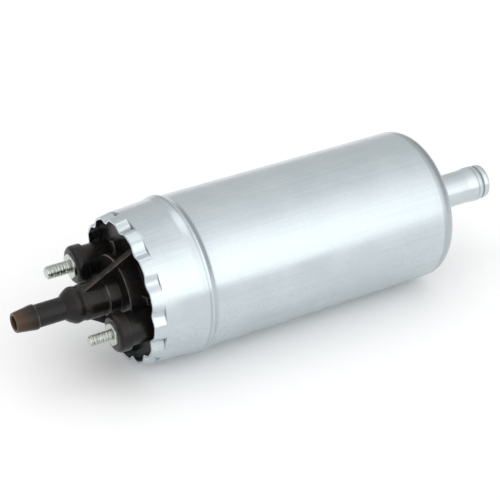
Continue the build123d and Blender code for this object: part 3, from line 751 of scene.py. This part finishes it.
def mark_sheen_and_wear(piece: Piece, sheen_and_wear: float) -> None:
    """Store how sharply a piece's outer corners bend, as an attribute for its finish's lighter
    edges, which are partly wear and partly painted highlight.

    Args:
        piece: The finished piece.
        sheen_and_wear: How strongly the corners take the lighter edge, partly wear and partly
            painted highlight, from 0 to 1.
    """
    mesh = bmesh.new()
    mesh.from_mesh(piece.data)
    sheened_and_worn = [0.0] * len(mesh.verts)
    for edge in mesh.edges:
        if len(edge.link_faces) != 2:
            continue
        area = sum(face.calc_area() for face in edge.link_faces) / 2
        width = area / max(edge.calc_length(), SHORTEST)
        bend = edge.calc_face_angle_signed(0.0) / max(width, SHORTEST)
        share = min(max((bend - SHEEN_AND_WEAR_FROM) / (SHEEN_AND_WEAR_TO - SHEEN_AND_WEAR_FROM), 0.0), 1.0)
        for corner in edge.verts:
            sheened_and_worn[corner.index] = max(sheened_and_worn[corner.index], sheen_and_wear * share)
    mesh.free()
    piece.data.attributes.new(SHEEN_AND_WEAR_EDGES, "FLOAT", "POINT").data.foreach_set("value", sheened_and_worn)


def mounted(piece: Piece, body: str, sheen_and_wear: float = 0.0) -> Piece:
    """Put a piece on a body, first marking its corners for the lighter edges when asked.

    Args:
        piece: The piece.
        body: The body that it rides on.
        sheen_and_wear: How strongly its corners take the lighter edge, partly wear and partly
            painted highlight, from 0 to 1.

    Returns:
        The piece.
    """
    if sheen_and_wear:
        mark_sheen_and_wear(piece, sheen_and_wear)
    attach(piece, body)
    return piece


@dataclass
class PumpCase:
    """Drawn can with its bead, its round shoulder and its slit and staked rim."""

    finish: Material
    radius: float = 0.029
    wall: float = 0.001
    half_tube: float = 0.0495
    shoulder: float = 0.0055
    bead_length: float = 0.0066
    bead_height: float = 0.0009
    bead_crest_share: float = 0.36
    mouth_length: float = 0.0135
    mouth_drop: float = 0.0008
    rim_length: float = 0.0045
    rim_taper: float = 0.0008
    rim_round: float = 0.0003
    stakes: int = 14
    slit_depth: float = 0.0014
    end_depth: float = 0.0017
    stake_share: float = 0.68
    pipe_hole: float = 0.0067
    sharp_from: float = 40.0
    columns_per_stake: int = 36
    mouth_steps: int = 10
    bead_rise_steps: int = 14
    bead_fall_steps: int = 12
    tube_steps: int = 24
    shoulder_steps: int = 14
    end_steps: int = 6
    rim_steps: int = 8
    rim_round_steps: int = 4

    def __post_init__(self) -> None:
        """Work out the stations along the axis."""
        self.bead_foot = -self.half_tube
        self.bead_start = self.bead_foot - self.bead_length
        self.slit = self.bead_start - self.mouth_length
        self.end = self.half_tube + self.shoulder

    def skin(self, radius: float, end: float) -> list[Point]:
        """Return the half section of one skin of the can, from the slits to the pipe's hole.

        Args:
            radius: The skin's radius along the main tube.
            end: The skin's end station.

        Returns:
            The section's points.
        """
        crest_x = self.bead_foot - self.bead_length * self.bead_crest_share
        crest = (crest_x, radius + self.bead_height)
        start, foot = (self.bead_start, radius), (self.bead_foot, radius)
        tube_end = (self.half_tube, radius)
        bend = end - self.half_tube
        points = run((self.slit, radius - self.mouth_drop), start, self.mouth_steps)
        points += ease(start, crest, self.bead_rise_steps)[1:]
        points += ease(crest, foot, self.bead_fall_steps)[1:]
        points += run(foot, tube_end, self.tube_steps)[1:]
        points += arc((self.half_tube, radius - bend), bend, 90, 0, self.shoulder_steps)[1:]
        return points + run((end, radius - bend), (end, self.pipe_hole), self.end_steps)[1:]

    def rim(self) -> list[Point]:
        """Return the half section of the rim before it is staked.

        Returns:
            Points from the slits, round the rim's end and back.
        """
        outer = self.radius - self.mouth_drop
        inner = outer - self.wall
        small = self.rim_round
        bend = self.slit - self.rim_length + small
        points = run((self.slit, outer), (bend, outer), self.rim_steps)
        points += arc((bend, outer - small), small, 90, 180, self.rim_round_steps)[1:]
        points += arc((bend, inner + small), small, 180, 270, self.rim_round_steps)
        return points + run((bend, inner), (self.slit, inner), self.rim_steps)[1:]

    def dent(self, angle: float) -> float:
        """Return how much of a dent's depth is reached at an angle.

        Args:
            angle: The angle from the first slit, in radians.

        Returns:
            The share of the depth, from 0 to 1.
        """
        pitch = tau / self.stakes
        share = abs((angle / pitch + 0.5) % 1 - 0.5) * 2 / self.stake_share
        return cos(share * pi / 2) ** 2 if share < 1 else 0.0

    def drop(self, x: float, angle: float) -> float:
        """Return how far the rim lies inside the mouth's radius at a station and an angle.

        Args:
            x: The station along the axis.
            angle: The angle from the first slit, in radians.

        Returns:
            The taper and the dent together.
        """
        share = (self.slit - x) / self.rim_length
        depth = self.slit_depth + (self.end_depth - self.slit_depth) * share
        return self.rim_taper * share + depth * self.dent(angle)

    def build(self) -> Piece:
        """Make the can and its rim as one closed skin.

        Returns:
            The can.
        """
        mesh = bmesh.new()
        count = self.stakes * self.columns_per_stake
        angles = [tau * k / count for k in range(count)]
        outline = self.skin(self.radius, self.end)
        outline += reversed(self.skin(self.radius - self.wall, self.end - self.wall))
        can = [[self.corner(mesh, x, radius, angle) for angle in angles] for x, radius in outline]
        rim = [
            [self.corner(mesh, x, radius - self.drop(x, angle), angle) for angle in angles]
            for x, radius in self.rim()
        ]
        for rings in (can, rim):
            for first, second in zip(rings, rings[1:]):
                join(mesh, first, second, range(count))
        depths = [self.dent(angle) for angle in angles]
        dents = [k for k in range(count) if max(depths[k], depths[(k + 1) % count]) > 0]
        for rings in (can, rim):
            join(mesh, rings[-1], rings[0], dents)
        return new_piece("case_skin", mesh, self.finish, self.sharp_from)

    @staticmethod
    def corner(mesh: bmesh.types.BMesh, x: float, radius: float, angle: float) -> Corner:
        """Add a corner at a station, a radius and an angle from the first slit."""
        return mesh.verts.new(CLOCK @ Vector((x, radius * cos(angle), radius * sin(angle))))

    def dress(self) -> list[Piece]:
        """Build the can and put it on its body in place of its solid.

        Returns:
            The can.
        """
        piece = self.build()
        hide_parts("pump_case")
        return [mounted(piece, "housing")]


@dataclass
class InletPipe:
    """Hose tail with a bead and a groove near its rounded tip, swaged into the can."""

    case: PumpCase
    finish: Material
    radius: float = 0.00665
    bore: float = 0.0052
    length: float = 0.0325
    collar_radius: float = 0.009
    collar_thickness: float = 0.0015
    swage_radius: float = 0.0076
    swage_thickness: float = 0.0008
    bead_radius: float = 0.007
    bead_from_tip: float = 0.006
    flare_length: float = 0.0045
    crown_radius: float = 0.00695
    groove_radius: float = 0.0064
    groove_from_tip: float = 0.0031
    groove_half_width: float = 0.0006
    ring_radius: float = 0.00675
    segments: int = 128
    swage_steps: int = 5
    tube_steps: int = 12
    flare_steps: int = 10
    bead_steps: int = 4
    groove_steps: int = 6
    tip_steps: int = 14
    bore_steps: int = 8

    def outline(self) -> list[Point]:
        """Return the pipe's half section.

        Returns:
            A closed loop of points.
        """
        start = self.case.end
        tip = start + self.length
        inside = start - self.case.wall
        back = inside - self.collar_thickness
        small = self.swage_thickness / 2
        foot = (start + 3 * small, self.radius)
        flare = (tip - self.bead_from_tip - self.flare_length, self.radius)
        bead = (tip - self.bead_from_tip, self.bead_radius)
        middle = tip - self.groove_from_tip
        crown = (middle - self.groove_half_width, self.crown_radius)
        groove = (middle, self.groove_radius)
        ring = (middle + self.groove_half_width, self.ring_radius)
        lip = (self.ring_radius - self.bore) / 2
        points = [(back, self.bore), (back, self.collar_radius), (inside, self.collar_radius)]
        points += [(inside, self.radius), (start, self.radius), (start, self.swage_radius)]
        points += arc((start + small, self.swage_radius - small), small, 90, 0, self.swage_steps)
        points += arc((foot[0], self.radius + small), small, 180, 270, self.swage_steps)
        points += run(foot, flare, self.tube_steps)[1:]
        points += ease(flare, bead, self.flare_steps)[1:]
        points += run(bead, crown, self.bead_steps)[1:]
        points += ease(crown, groove, self.groove_steps)[1:]
        points += ease(groove, ring, self.groove_steps)[1:]
        points += arc((tip - lip, self.ring_radius - lip), lip, 90, -90, self.tip_steps)
        return points + run((tip - lip, self.bore), (back, self.bore), self.bore_steps)[1:]

    def dress(self) -> list[Piece]:
        """Build the pipe and put it on its body in place of its solid.

        Returns:
            The pipe.
        """
        piece = lathe("inlet_hose_tail", self.outline(), self.segments, self.finish)
        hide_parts("inlet_pipe")
        return [mounted(piece, "housing")]


@dataclass
class OutletCover:
    """Dark moulded cover with the outlet tail, the terminal posts, gussets and small blocks."""

    case: PumpCase
    finish: Material
    flange: float = 0.0031
    flange_gap: float = 0.00005
    spigot_length: float = 0.006
    spigot_radius: float = 0.025
    hollow_radius: float = 0.0225
    floor: float = 0.0025
    drum_radius: float = 0.0142
    drum_height: float = 0.0069
    boss_radius: float = 0.00675
    boss_foot_radius: float = 0.0074
    boss_foot_height: float = 0.0045
    boss_height: float = 0.015
    neck_radius: float = 0.00645
    neck_length: float = 0.0014
    bulge_length: float = 0.0022
    tail_shoulder: float = 0.0028
    tail_radius: float = 0.00425
    tail_length: float = 0.0104
    barb_radius: float = 0.00465
    barb_step: float = 0.0005
    barb_length: float = 0.0077
    barb_tip: float = 0.0037
    bore: float = 0.0026
    bore_depth: float = 0.0316
    chamber_radius: float = 0.0046
    post_offset: float = 0.0171
    post_radius: float = 0.0062
    post_height: float = 0.0108
    # The posts take less of the lighter edges, which are partly wear and partly a painted highlight
    post_sheen_and_wear: float = 0.4
    collar_radius: float = 0.0072
    collar_length: float = 0.0047
    collar_round: float = 0.0017
    gusset_thickness: float = 0.002
    gusset_foot: float = 0.0225
    gusset_top: float = 0.0025
    lip_width: float = 0.0006
    groove_width: float = 0.00035
    groove_depth: float = 0.0003
    gusset_edge: float = 0.00018
    lug_height: float = 0.003
    lug_width: float = 0.003
    lug_length: float = 0.0044
    rim_lug: Point = (0.0178, 145.5)
    drum_lug: Point = (0.016, 45.0)
    edge: float = 0.0004
    segments: int = 128
    post_segments: int = 96
    edge_steps: int = 4
    fine_edge_steps: int = 3
    wall_steps: int = 6
    neck_steps: int = 8
    barb_steps: int = 5
    tip_steps: int = 12
    bore_steps: int = 8
    collar_steps: int = 3
    collar_round_steps: int = 10

    def core(self) -> list[Point]:
        """Return the half section of the flange, drum, boss, tail, barb and bore.

        Returns:
            A closed loop of points.
        """
        case = self.case
        face = case.slit
        flange_back = face + self.flange
        back = flange_back + self.spigot_length
        drum = face - self.drum_height
        foot = drum - self.boss_foot_height
        boss = drum - self.boss_height
        bulge_end = boss - self.bulge_length
        tail = bulge_end - self.tail_shoulder
        barb = tail - self.tail_length - self.barb_step
        tip = barb - self.barb_length
        small = self.edge
        rim = case.radius - case.wall - case.mouth_drop - self.flange_gap
        neck_foot = (boss + 2 * self.neck_length, self.boss_radius)
        tail_end = (barb + self.barb_step, self.tail_radius)
        lip = (self.barb_tip - self.bore) / 2
        bore_end = tip + self.bore_depth
        points = [(back, self.hollow_radius), (back, self.spigot_radius)]
        points += [(flange_back, self.spigot_radius), (flange_back, rim), (face, rim)]
        walls = ((face, drum, self.drum_radius), (drum, foot, self.boss_foot_radius))
        for high, low, radius in walls:
            points += inner_round(high, radius, small, self.edge_steps)
            points += outer_round(low, radius, small, self.edge_steps)
        points += inner_round(foot - small / 2, self.boss_radius, small / 2, self.fine_edge_steps)
        points += run((foot - small, self.boss_radius), neck_foot, self.wall_steps)
        points += smooth([
            neck_foot,
            (boss + self.neck_length, self.neck_radius),
            (boss - self.bulge_length / 2, self.boss_radius),
            (bulge_end - self.tail_shoulder / 2, (self.boss_radius + self.tail_radius) / 2),
            (tail, self.tail_radius),
        ], self.neck_steps)[1:]
        points += run((tail, self.tail_radius), tail_end, self.wall_steps)[1:]
        points += smooth([
            tail_end,
            (barb, self.barb_radius),
            (barb - self.barb_length / 2, (self.barb_radius + self.barb_tip) / 2),
            (tip + lip, self.barb_tip),
        ], self.barb_steps)[1:]
        points += arc((tip + lip, self.barb_tip - lip), lip, 90, 270, self.tip_steps)[1:]
        points += run((tip + lip, self.bore), (bore_end, self.bore), self.bore_steps)[1:]
        points += [(bore_end, self.chamber_radius), (face + self.floor, self.chamber_radius)]
        return points + [(face + self.floor, self.hollow_radius), (back, self.hollow_radius)]

    def post(self) -> list[Point]:
        """Return the half section of one terminal post.

        Returns:
            Points from the axis inside the cover to the axis at the post's end.
        """
        face = self.case.slit
        step = face - self.post_height
        end = step - self.collar_length
        small = self.edge
        wall, collar = self.post_radius, self.collar_radius
        points = [(face + self.floor, 0.0), (face + self.floor, wall)]
        points += inner_round(face, wall, small, self.edge_steps)
        points += run((face - small, wall), (step, wall), self.wall_steps)[1:]
        points += arc((step - small / 2, collar - small / 2), small / 2, 0, 90, self.edge_steps)
        points += run((step - small, collar), (end + self.collar_round, collar), self.collar_steps)
        points += outer_round(end, collar, self.collar_round, self.collar_round_steps)[1:]
        return points + [(end, 0.0)]

    def beside(self, side: int, x: float = 0.0) -> Matrix:
        """Return the place at x on the axis of the terminal on side 1 or -1."""
        return CLOCK @ Matrix.Translation((x, side * self.post_offset, 0))

    def gusset(self, side: int) -> Piece:
        """Build one thin triangular rib from the boss to the flange, with a groove in its edge.

        Args:
            side: 1 for the upper rib and -1 for the lower one.

        Returns:
            The rib.
        """
        face = self.case.slit
        top = face - self.drum_height - self.boss_height + self.gusset_top
        half = self.gusset_thickness / 2
        lip = self.lip_width - half
        bank = lip + self.groove_width
        low = -self.groove_depth
        levels = [(-half, 0.0), (lip, 0.0), (lip, low), (bank, low), (bank, 0.0), (half, 0.0)]
        sunk = self.boss_radius / 2
        stations = [(top, self.boss_radius), (face, self.gusset_foot)]
        stations.append((face + self.floor / 2, self.gusset_foot))
        loops = []
        for x, slope in stations:
            section = [(y, slope + lift) for y, lift in levels] + [(half, sunk), (-half, sunk)]
            loops.append([(x, y, side * z) for y, z in section])
        piece = stack("upper_gusset" if side > 0 else "lower_gusset", loops, self.finish)
        return rounded(piece, self.gusset_edge, CLOCK)

    def lug(self, name: str, radius: float, angle: float) -> Piece:
        """Build one small block that stands on the flange.

        Args:
            name: The block's name.
            radius: How far it stands from the axis.
            angle: Its angle from the larger terminal, in degrees.

        Returns:
            The block.
        """
        low = self.case.slit - self.lug_height
        high = self.case.slit + self.floor / 2
        size = Matrix.Diagonal((high - low, self.lug_length, self.lug_width, 1.0))
        turn = Matrix.Rotation(radians(angle), 4, "X")
        place = turn @ Matrix.Translation(((low + high) / 2, radius, 0)) @ size
        mesh = bmesh.new()
        bmesh.ops.create_cube(mesh, size=1.0, matrix=place)
        return rounded(new_piece(name, mesh, self.finish), self.edge, CLOCK)

    def dress(self) -> list[Piece]:
        """Build the cover's pieces and put them on their body in place of its solid.

        Returns:
            The cover's pieces.
        """
        core = lathe("cover_core", self.core(), self.segments, self.finish)
        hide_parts("outlet_cover")
        # The core, gussets and blocks take the lighter edges fully, partly wear and partly a
        # painted highlight
        sheened_and_worn = [core, self.gusset(1), self.gusset(-1)]
        sheened_and_worn += [self.lug("rim_block", *self.rim_lug), self.lug("drum_block", *self.drum_lug)]
        pieces = [mounted(piece, "housing", 1.0) for piece in sheened_and_worn]
        for side, name in ((1, "larger_terminal_post"), (-1, "smaller_terminal_post")):
            post = lathe(name, self.post(), self.post_segments, self.finish, self.beside(side))
            pieces.append(mounted(post, "housing", self.post_sheen_and_wear))
        return pieces


@dataclass(frozen=True)
class Helix:
    """Ridge or wire that winds round the Z axis, swept by geometry nodes."""

    radius: float
    thickness: float
    height: float
    turns: float
    turn_steps: int
    sides: int
    sharp_from: float = 50.0

    def tree(self, finish: Material) -> bpy.types.GeometryNodeTree:
        """Make the node tree that sweeps a round section along a helix.

        Args:
            finish: The piece's material.

        Returns:
            The tree, with inputs for radius, thickness, height, turns, steps and sides.
        """
        tree = bpy.data.node_groups.new("helix_sweep", "GeometryNodeTree")
        socket = tree.interface.new_socket
        socket("Geometry", in_out="INPUT", socket_type="NodeSocketGeometry")
        for name in ("Radius", "Thickness", "Height", "Turns"):
            socket(name, in_out="INPUT", socket_type="NodeSocketFloat")
        for name in ("Steps", "Sides"):
            socket(name, in_out="INPUT", socket_type="NodeSocketInt")
        socket("Geometry", in_out="OUTPUT", socket_type="NodeSocketGeometry")
        given, made, helix, section, sweep, realize, paint = map(tree.nodes.new, (
            "NodeGroupInput",
            "NodeGroupOutput",
            "GeometryNodeCurveSpiral",
            "GeometryNodeCurvePrimitiveCircle",
            "GeometryNodeCurveToMesh",
            "GeometryNodeRealizeInstances",
            "GeometryNodeSetMaterial",
        ))
        sweep.inputs["Fill Caps"].default_value = True
        paint.inputs["Material"].default_value = finish
        for source, output, target, entry in (
            (given, "Steps", helix, "Resolution"),
            (given, "Turns", helix, "Rotations"),
            (given, "Radius", helix, "Start Radius"),
            (given, "Radius", helix, "End Radius"),
            (given, "Height", helix, "Height"),
            (given, "Thickness", section, "Radius"),
            (given, "Sides", section, "Resolution"),
            (helix, "Curve", sweep, "Curve"),
            (section, "Curve", sweep, "Profile Curve"),
            (sweep, "Mesh", realize, "Geometry"),
            (realize, "Geometry", paint, "Geometry"),
            (paint, "Geometry", made, "Geometry"),
        ):
            tree.links.new(source.outputs[output], target.inputs[entry])
        return tree

    def build(self, name: str, place: Matrix, finish: Material) -> Piece:
        """Sweep the helix with the node tree and turn it into a plain mesh.

        Args:
            name: The piece's name.
            place: Where the helix goes.
            finish: The piece's material.

        Returns:
            The piece.
        """
        piece = bpy.data.objects.new(name, bpy.data.meshes.new(name))
        bpy.context.scene.collection.objects.link(piece)
        tree = self.tree(finish)
        modifier = piece.modifiers.new("helix", "NODES")
        modifier.node_group = tree
        values = {
            "Radius": self.radius,
            "Thickness": self.thickness,
            "Height": self.height,
            "Turns": self.turns,
            "Steps": int(self.turns * self.turn_steps),
            "Sides": self.sides,
        }
        for item in tree.interface.items_tree:
            if item.in_out == "INPUT" and item.name in values:
                modifier[item.identifier] = values[item.name]
        keep_result(piece)
        piece.data.transform(place)
        piece.data.shade_smooth()
        piece.data.set_sharp_from_angle(angle=radians(self.sharp_from))
        return piece


class ThreadSize(Enum):
    """The two terminal threads: radius, pitch, free length and plate size across its flats."""

    M5 = (0.0025, 0.0008, 0.0092, 0.0088)
    M4 = (0.002, 0.0007, 0.0084, 0.008)


@dataclass
class TerminalStud:
    """Threaded stud with the blunt hexagonal plate that seats in its post."""

    cover: OutletCover
    finish: Material
    size: ThreadSize
    side: int
    node: str
    plate_thickness: float = 0.0016
    plate_proud: float = 0.0008
    plate_round: float = 0.0003
    corner_cut: float = 0.00025
    tip_chamfer: float = 0.0002
    thread_start: float = 0.0006
    thread_share: float = 0.3
    core_share: float = 0.9
    segments: int = 64
    turn_steps: int = 40
    ridge_sides: int = 6

    def thread(self, tip: float, root: float) -> Helix:
        """Return the thread's ridge.

        Args:
            tip: Station of the stud's tip.
            root: Station where the thread ends.

        Returns:
            The ridge, to wind from its start near the tip to the root.
        """
        radius, pitch, _, _ = self.size.value
        ridge = pitch * self.thread_share
        height = root - tip - self.thread_start
        turns = height / pitch
        return Helix(radius - ridge, ridge, height, turns, self.turn_steps, self.ridge_sides)

    def hexagon(self, flats: float) -> list[Point]:
        """Return the corners of the blunt hexagon, two at the ends of each flat.

        Args:
            flats: The hexagon's size across its flats.

        Returns:
            The corners in turn.
        """
        reach = flats / sqrt(3) - self.corner_cut
        half_flat = acos(flats / 2 / reach)
        middles = [(flat + 0.5) * tau / 6 for flat in range(6)]
        turns = [middle + end * half_flat for middle in middles for end in (-1, 1)]
        return [(reach * cos(turn), reach * sin(turn)) for turn in turns]

    def dress(self) -> list[Piece]:
        """Build the stud and put it on its body in place of its solid.

        Returns:
            The stud's pieces.
        """
        radius, pitch, length, flats = self.size.value
        label = self.size.name.lower()
        cover, face, cut = self.cover, self.cover.case.slit, self.tip_chamfer
        plate = face - cover.post_height - cover.collar_length - self.plate_proud
        tip = plate - length
        back = face + cover.flange + cover.spigot_length
        core = radius - 2 * pitch * self.thread_share * self.core_share
        move = cover.beside(self.side)
        outline = [(tip, 0.0), (tip, core - cut), (tip + cut, core), (back, core), (back, 0.0)]
        stud = lathe(f"stud_{label}", outline, self.segments, self.finish, move)
        ends = (plate, plate + self.plate_thickness)
        loops = [[(x, y, z) for y, z in self.hexagon(flats)] for x in ends]
        hexagon = stack(f"hexagonal_plate_{label}", loops, self.finish)
        hexagon = rounded(hexagon, self.plate_round, move)
        ridge = self.thread(tip, plate + self.plate_thickness / 2)
        place = cover.beside(self.side, tip + self.thread_start) @ ALONG_X
        thread = ridge.build(f"thread_{label}", place, self.finish)
        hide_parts(self.node)
        return [mounted(piece, "housing") for piece in (stud, hexagon, thread)]


@dataclass(frozen=True)
class CoilSpring:
    """Coil spring between the housing and a sliding piece."""

    node: str
    body: str
    fixed_end: Place
    moving_end: Place
    radius: float
    wire: float
    turns: float
    turn_steps: int = 32
    sides: int = 10

    def dress(self, finish: Material) -> list[Piece]:
        """Build the spring between its fixed and moving ends.

        Args:
            finish: The spring's material.

        Returns:
            The spring.
        """
        half_wire = self.wire / 2
        reach = Vector(self.moving_end) - Vector(self.fixed_end)
        start = Vector(self.fixed_end) + reach.normalized() * half_wire
        turn = reach.to_track_quat("Z", "Y").to_matrix().to_4x4()
        height = reach.length - self.wire
        middle = self.radius - half_wire
        coil = Helix(middle, half_wire, height, self.turns, self.turn_steps, self.sides)
        piece = coil.build(self.node + "_coil", CLOCK @ Matrix.Translation(start) @ turn, finish)
        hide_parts(self.node)
        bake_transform(piece)
        return [piece]


SPRINGS = (
    CoilSpring(
        "valve_spring", "check_valve", (-0.0835, 0, 0), (-0.0718, 0, 0),
        radius=0.003, wire=0.0007, turns=6.5,
    ),
    CoilSpring(
        "brush_spring_upper", "brush_upper", (-0.051, 0, 0.02495), (-0.051, 0, 0.01815),
        radius=0.002, wire=0.0006, turns=4.5,
    ),
    CoilSpring(
        "brush_spring_lower", "brush_lower", (-0.051, 0, -0.02495), (-0.051, 0, -0.01815),
        radius=0.002, wire=0.0006, turns=4.5,
    ),
    CoilSpring(
        "relief_spring", "relief_valve", (0.0495, 0.022, 0), (0.04512, 0.022, 0),
        radius=0.00192, wire=0.0005, turns=3.0,
    ),
)


@dataclass
class Studio:
    """Pale floor, soft lights and the camera."""

    camera_place: Place = (-0.2911, -0.4594, 0.3223)
    azimuth: float = -30.585
    elevation: float = 31.095
    lens: float = 120.43
    sensor_width: float = 36.0
    clip_start: float = 0.01
    floor_size: float = 12.0
    floor_drop: float = 0.0299
    floor_lit: Colour = (0.70, 0.70, 0.70)
    floor_seen: Colour = (0.98, 0.98, 0.98)
    key_side: Place = (0.25, -0.90, 0.36)
    world_scale: float = 2.5
    key_levels: tuple[Point, ...] = (
        (-1.0, 0.6), (-0.5, 0.8), (0.1, 0.92), (0.5, 1.1), (0.8, 1.5), (1.0, 1.9),
    )
    right_levels: tuple[Point, ...] = ((0.5, 1.0), (0.75, 0.62), (1.0, 0.6))
    softbox_place: Place = (-0.25, 0.35, 1.4)
    softbox_size: Point = (0.9, 0.9)
    softbox_level: float = 0.55

    def floor(self) -> None:
        """Make the floor, which the camera sees paler than it lights the pump."""
        bpy.ops.mesh.primitive_plane_add(size=self.floor_size, location=(0, 0, -self.floor_drop))
        plane = bpy.context.object
        plane.name = "floor"
        material = bpy.data.materials.new("floor")
        graph = Graph(material)
        seen = graph.add("ShaderNodeLightPath", output="Is Camera Ray")
        sources = seen.socket.node.outputs
        for name in ("Is Glossy Ray", "Is Transmission Ray"):
            seen = seen + Value(graph, sources[name])
        colour = graph.mix(seen.clamped(), self.floor_lit, self.floor_seen)
        shader = graph.add("ShaderNodeBsdfDiffuse", {}, {"Color": colour})
        graph.add("ShaderNodeOutputMaterial", {}, {"Surface": shader})
        plane.data.materials.append(material)

    def world(self) -> None:
        """Light the scene from all round, brightest from the front and above."""
        world = bpy.data.worlds.new("studio")
        bpy.context.scene.world = world
        graph = Graph(world)
        where = graph.add("ShaderNodeTexCoord", output="Generated")
        settings = {"operation": "DOT_PRODUCT"}
        facing = graph.add("ShaderNodeVectorMath", settings, {0: where, 1: self.key_side}, "Value")
        stops = [(0.5 + place / 2, level / self.world_scale) for place, level in self.key_levels]
        right = graph.ramp(graph.along(where), *self.right_levels)
        light = graph.ramp(facing * 0.5 + 0.5, *stops) * right * self.world_scale
        shader = graph.add("ShaderNodeBackground", {}, {"Color": light, "Strength": 1.0})
        graph.add("ShaderNodeOutputWorld", {}, {"Surface": shader})

    def softbox(self) -> None:
        """Add a rectangular soft light that faces the pump from above."""
        data = bpy.data.lights.new("top_softbox", "AREA")
        data.shape = "RECTANGLE"
        data.size, data.size_y = self.softbox_size
        data.energy = self.softbox_level * pi * data.size * data.size_y
        light = bpy.data.objects.new("top_softbox", data)
        light.location = self.softbox_place
        light.rotation_euler = (-Vector(self.softbox_place)).to_track_quat("-Z", "Y").to_euler()
        bpy.context.scene.collection.objects.link(light)

    def camera(self) -> None:
        """Set the camera as the photograph was taken."""
        data = bpy.data.cameras.new("camera")
        data.lens = self.lens
        data.sensor_width = self.sensor_width
        data.clip_start = self.clip_start
        camera = bpy.data.objects.new("camera", data)
        turn, rise = radians(self.azimuth), radians(self.elevation)
        back = Vector((sin(turn) * cos(rise), -cos(turn) * cos(rise), sin(rise)))
        camera.location = self.camera_place
        camera.rotation_euler = (-back).to_track_quat("-Z", "Y").to_euler()
        bpy.context.scene.collection.objects.link(camera)
        bpy.context.scene.camera = camera

    def build(self) -> None:
        """Set up the whole studio."""
        self.floor()
        self.world()
        self.softbox()
        self.camera()
        bpy.context.scene.view_settings.view_transform = "Standard"


def dress_solids(finishes: dict[Finish, Material]) -> int:
    """Give every solid that stays in the scene its own finish.

    Args:
        finishes: The material of each finish.

    Returns:
        How many solids were dressed.
    """
    for finish, nodes in CARRIED_OVER.items():
        for node in nodes:
            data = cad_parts[node].data
            data.materials.clear()
            data.materials.append(finishes[finish])
    return sum(len(nodes) for nodes in CARRIED_OVER.values())


def main() -> None:
    """Build the pump's pieces and the studio, and log how many faces each piece has."""
    logging.basicConfig(level=logging.INFO, format="%(name)s: %(message)s")
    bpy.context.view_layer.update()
    used = [*CARRIED_OVER, CASE_ALUMINIUM, PIPE_ALUMINIUM, COVER_PLASTIC]
    finishes = {finish: finish.build() for finish in used}
    case = PumpCase(finishes[CASE_ALUMINIUM])
    pipe = InletPipe(case, finishes[PIPE_ALUMINIUM])
    cover = OutletCover(case, finishes[COVER_PLASTIC])
    plating = finishes[PLATED_STEEL]
    larger = TerminalStud(cover, plating, ThreadSize.M5, 1, "terminal_stud_m5")
    smaller = TerminalStud(cover, plating, ThreadSize.M4, -1, "terminal_stud_m4")
    pieces: list[Piece] = []
    for assembly in (case, pipe, cover, larger, smaller):
        pieces += assembly.dress()
    for spring in SPRINGS:
        pieces += spring.dress(finishes[SPRING_STEEL])
    for piece in pieces:
        LOG.info("%s: %d faces", piece.name, len(piece.data.polygons))
    LOG.info("solids dressed: %d", dress_solids(finishes))
    Studio().build()


if __name__ == "__main__":
    main()
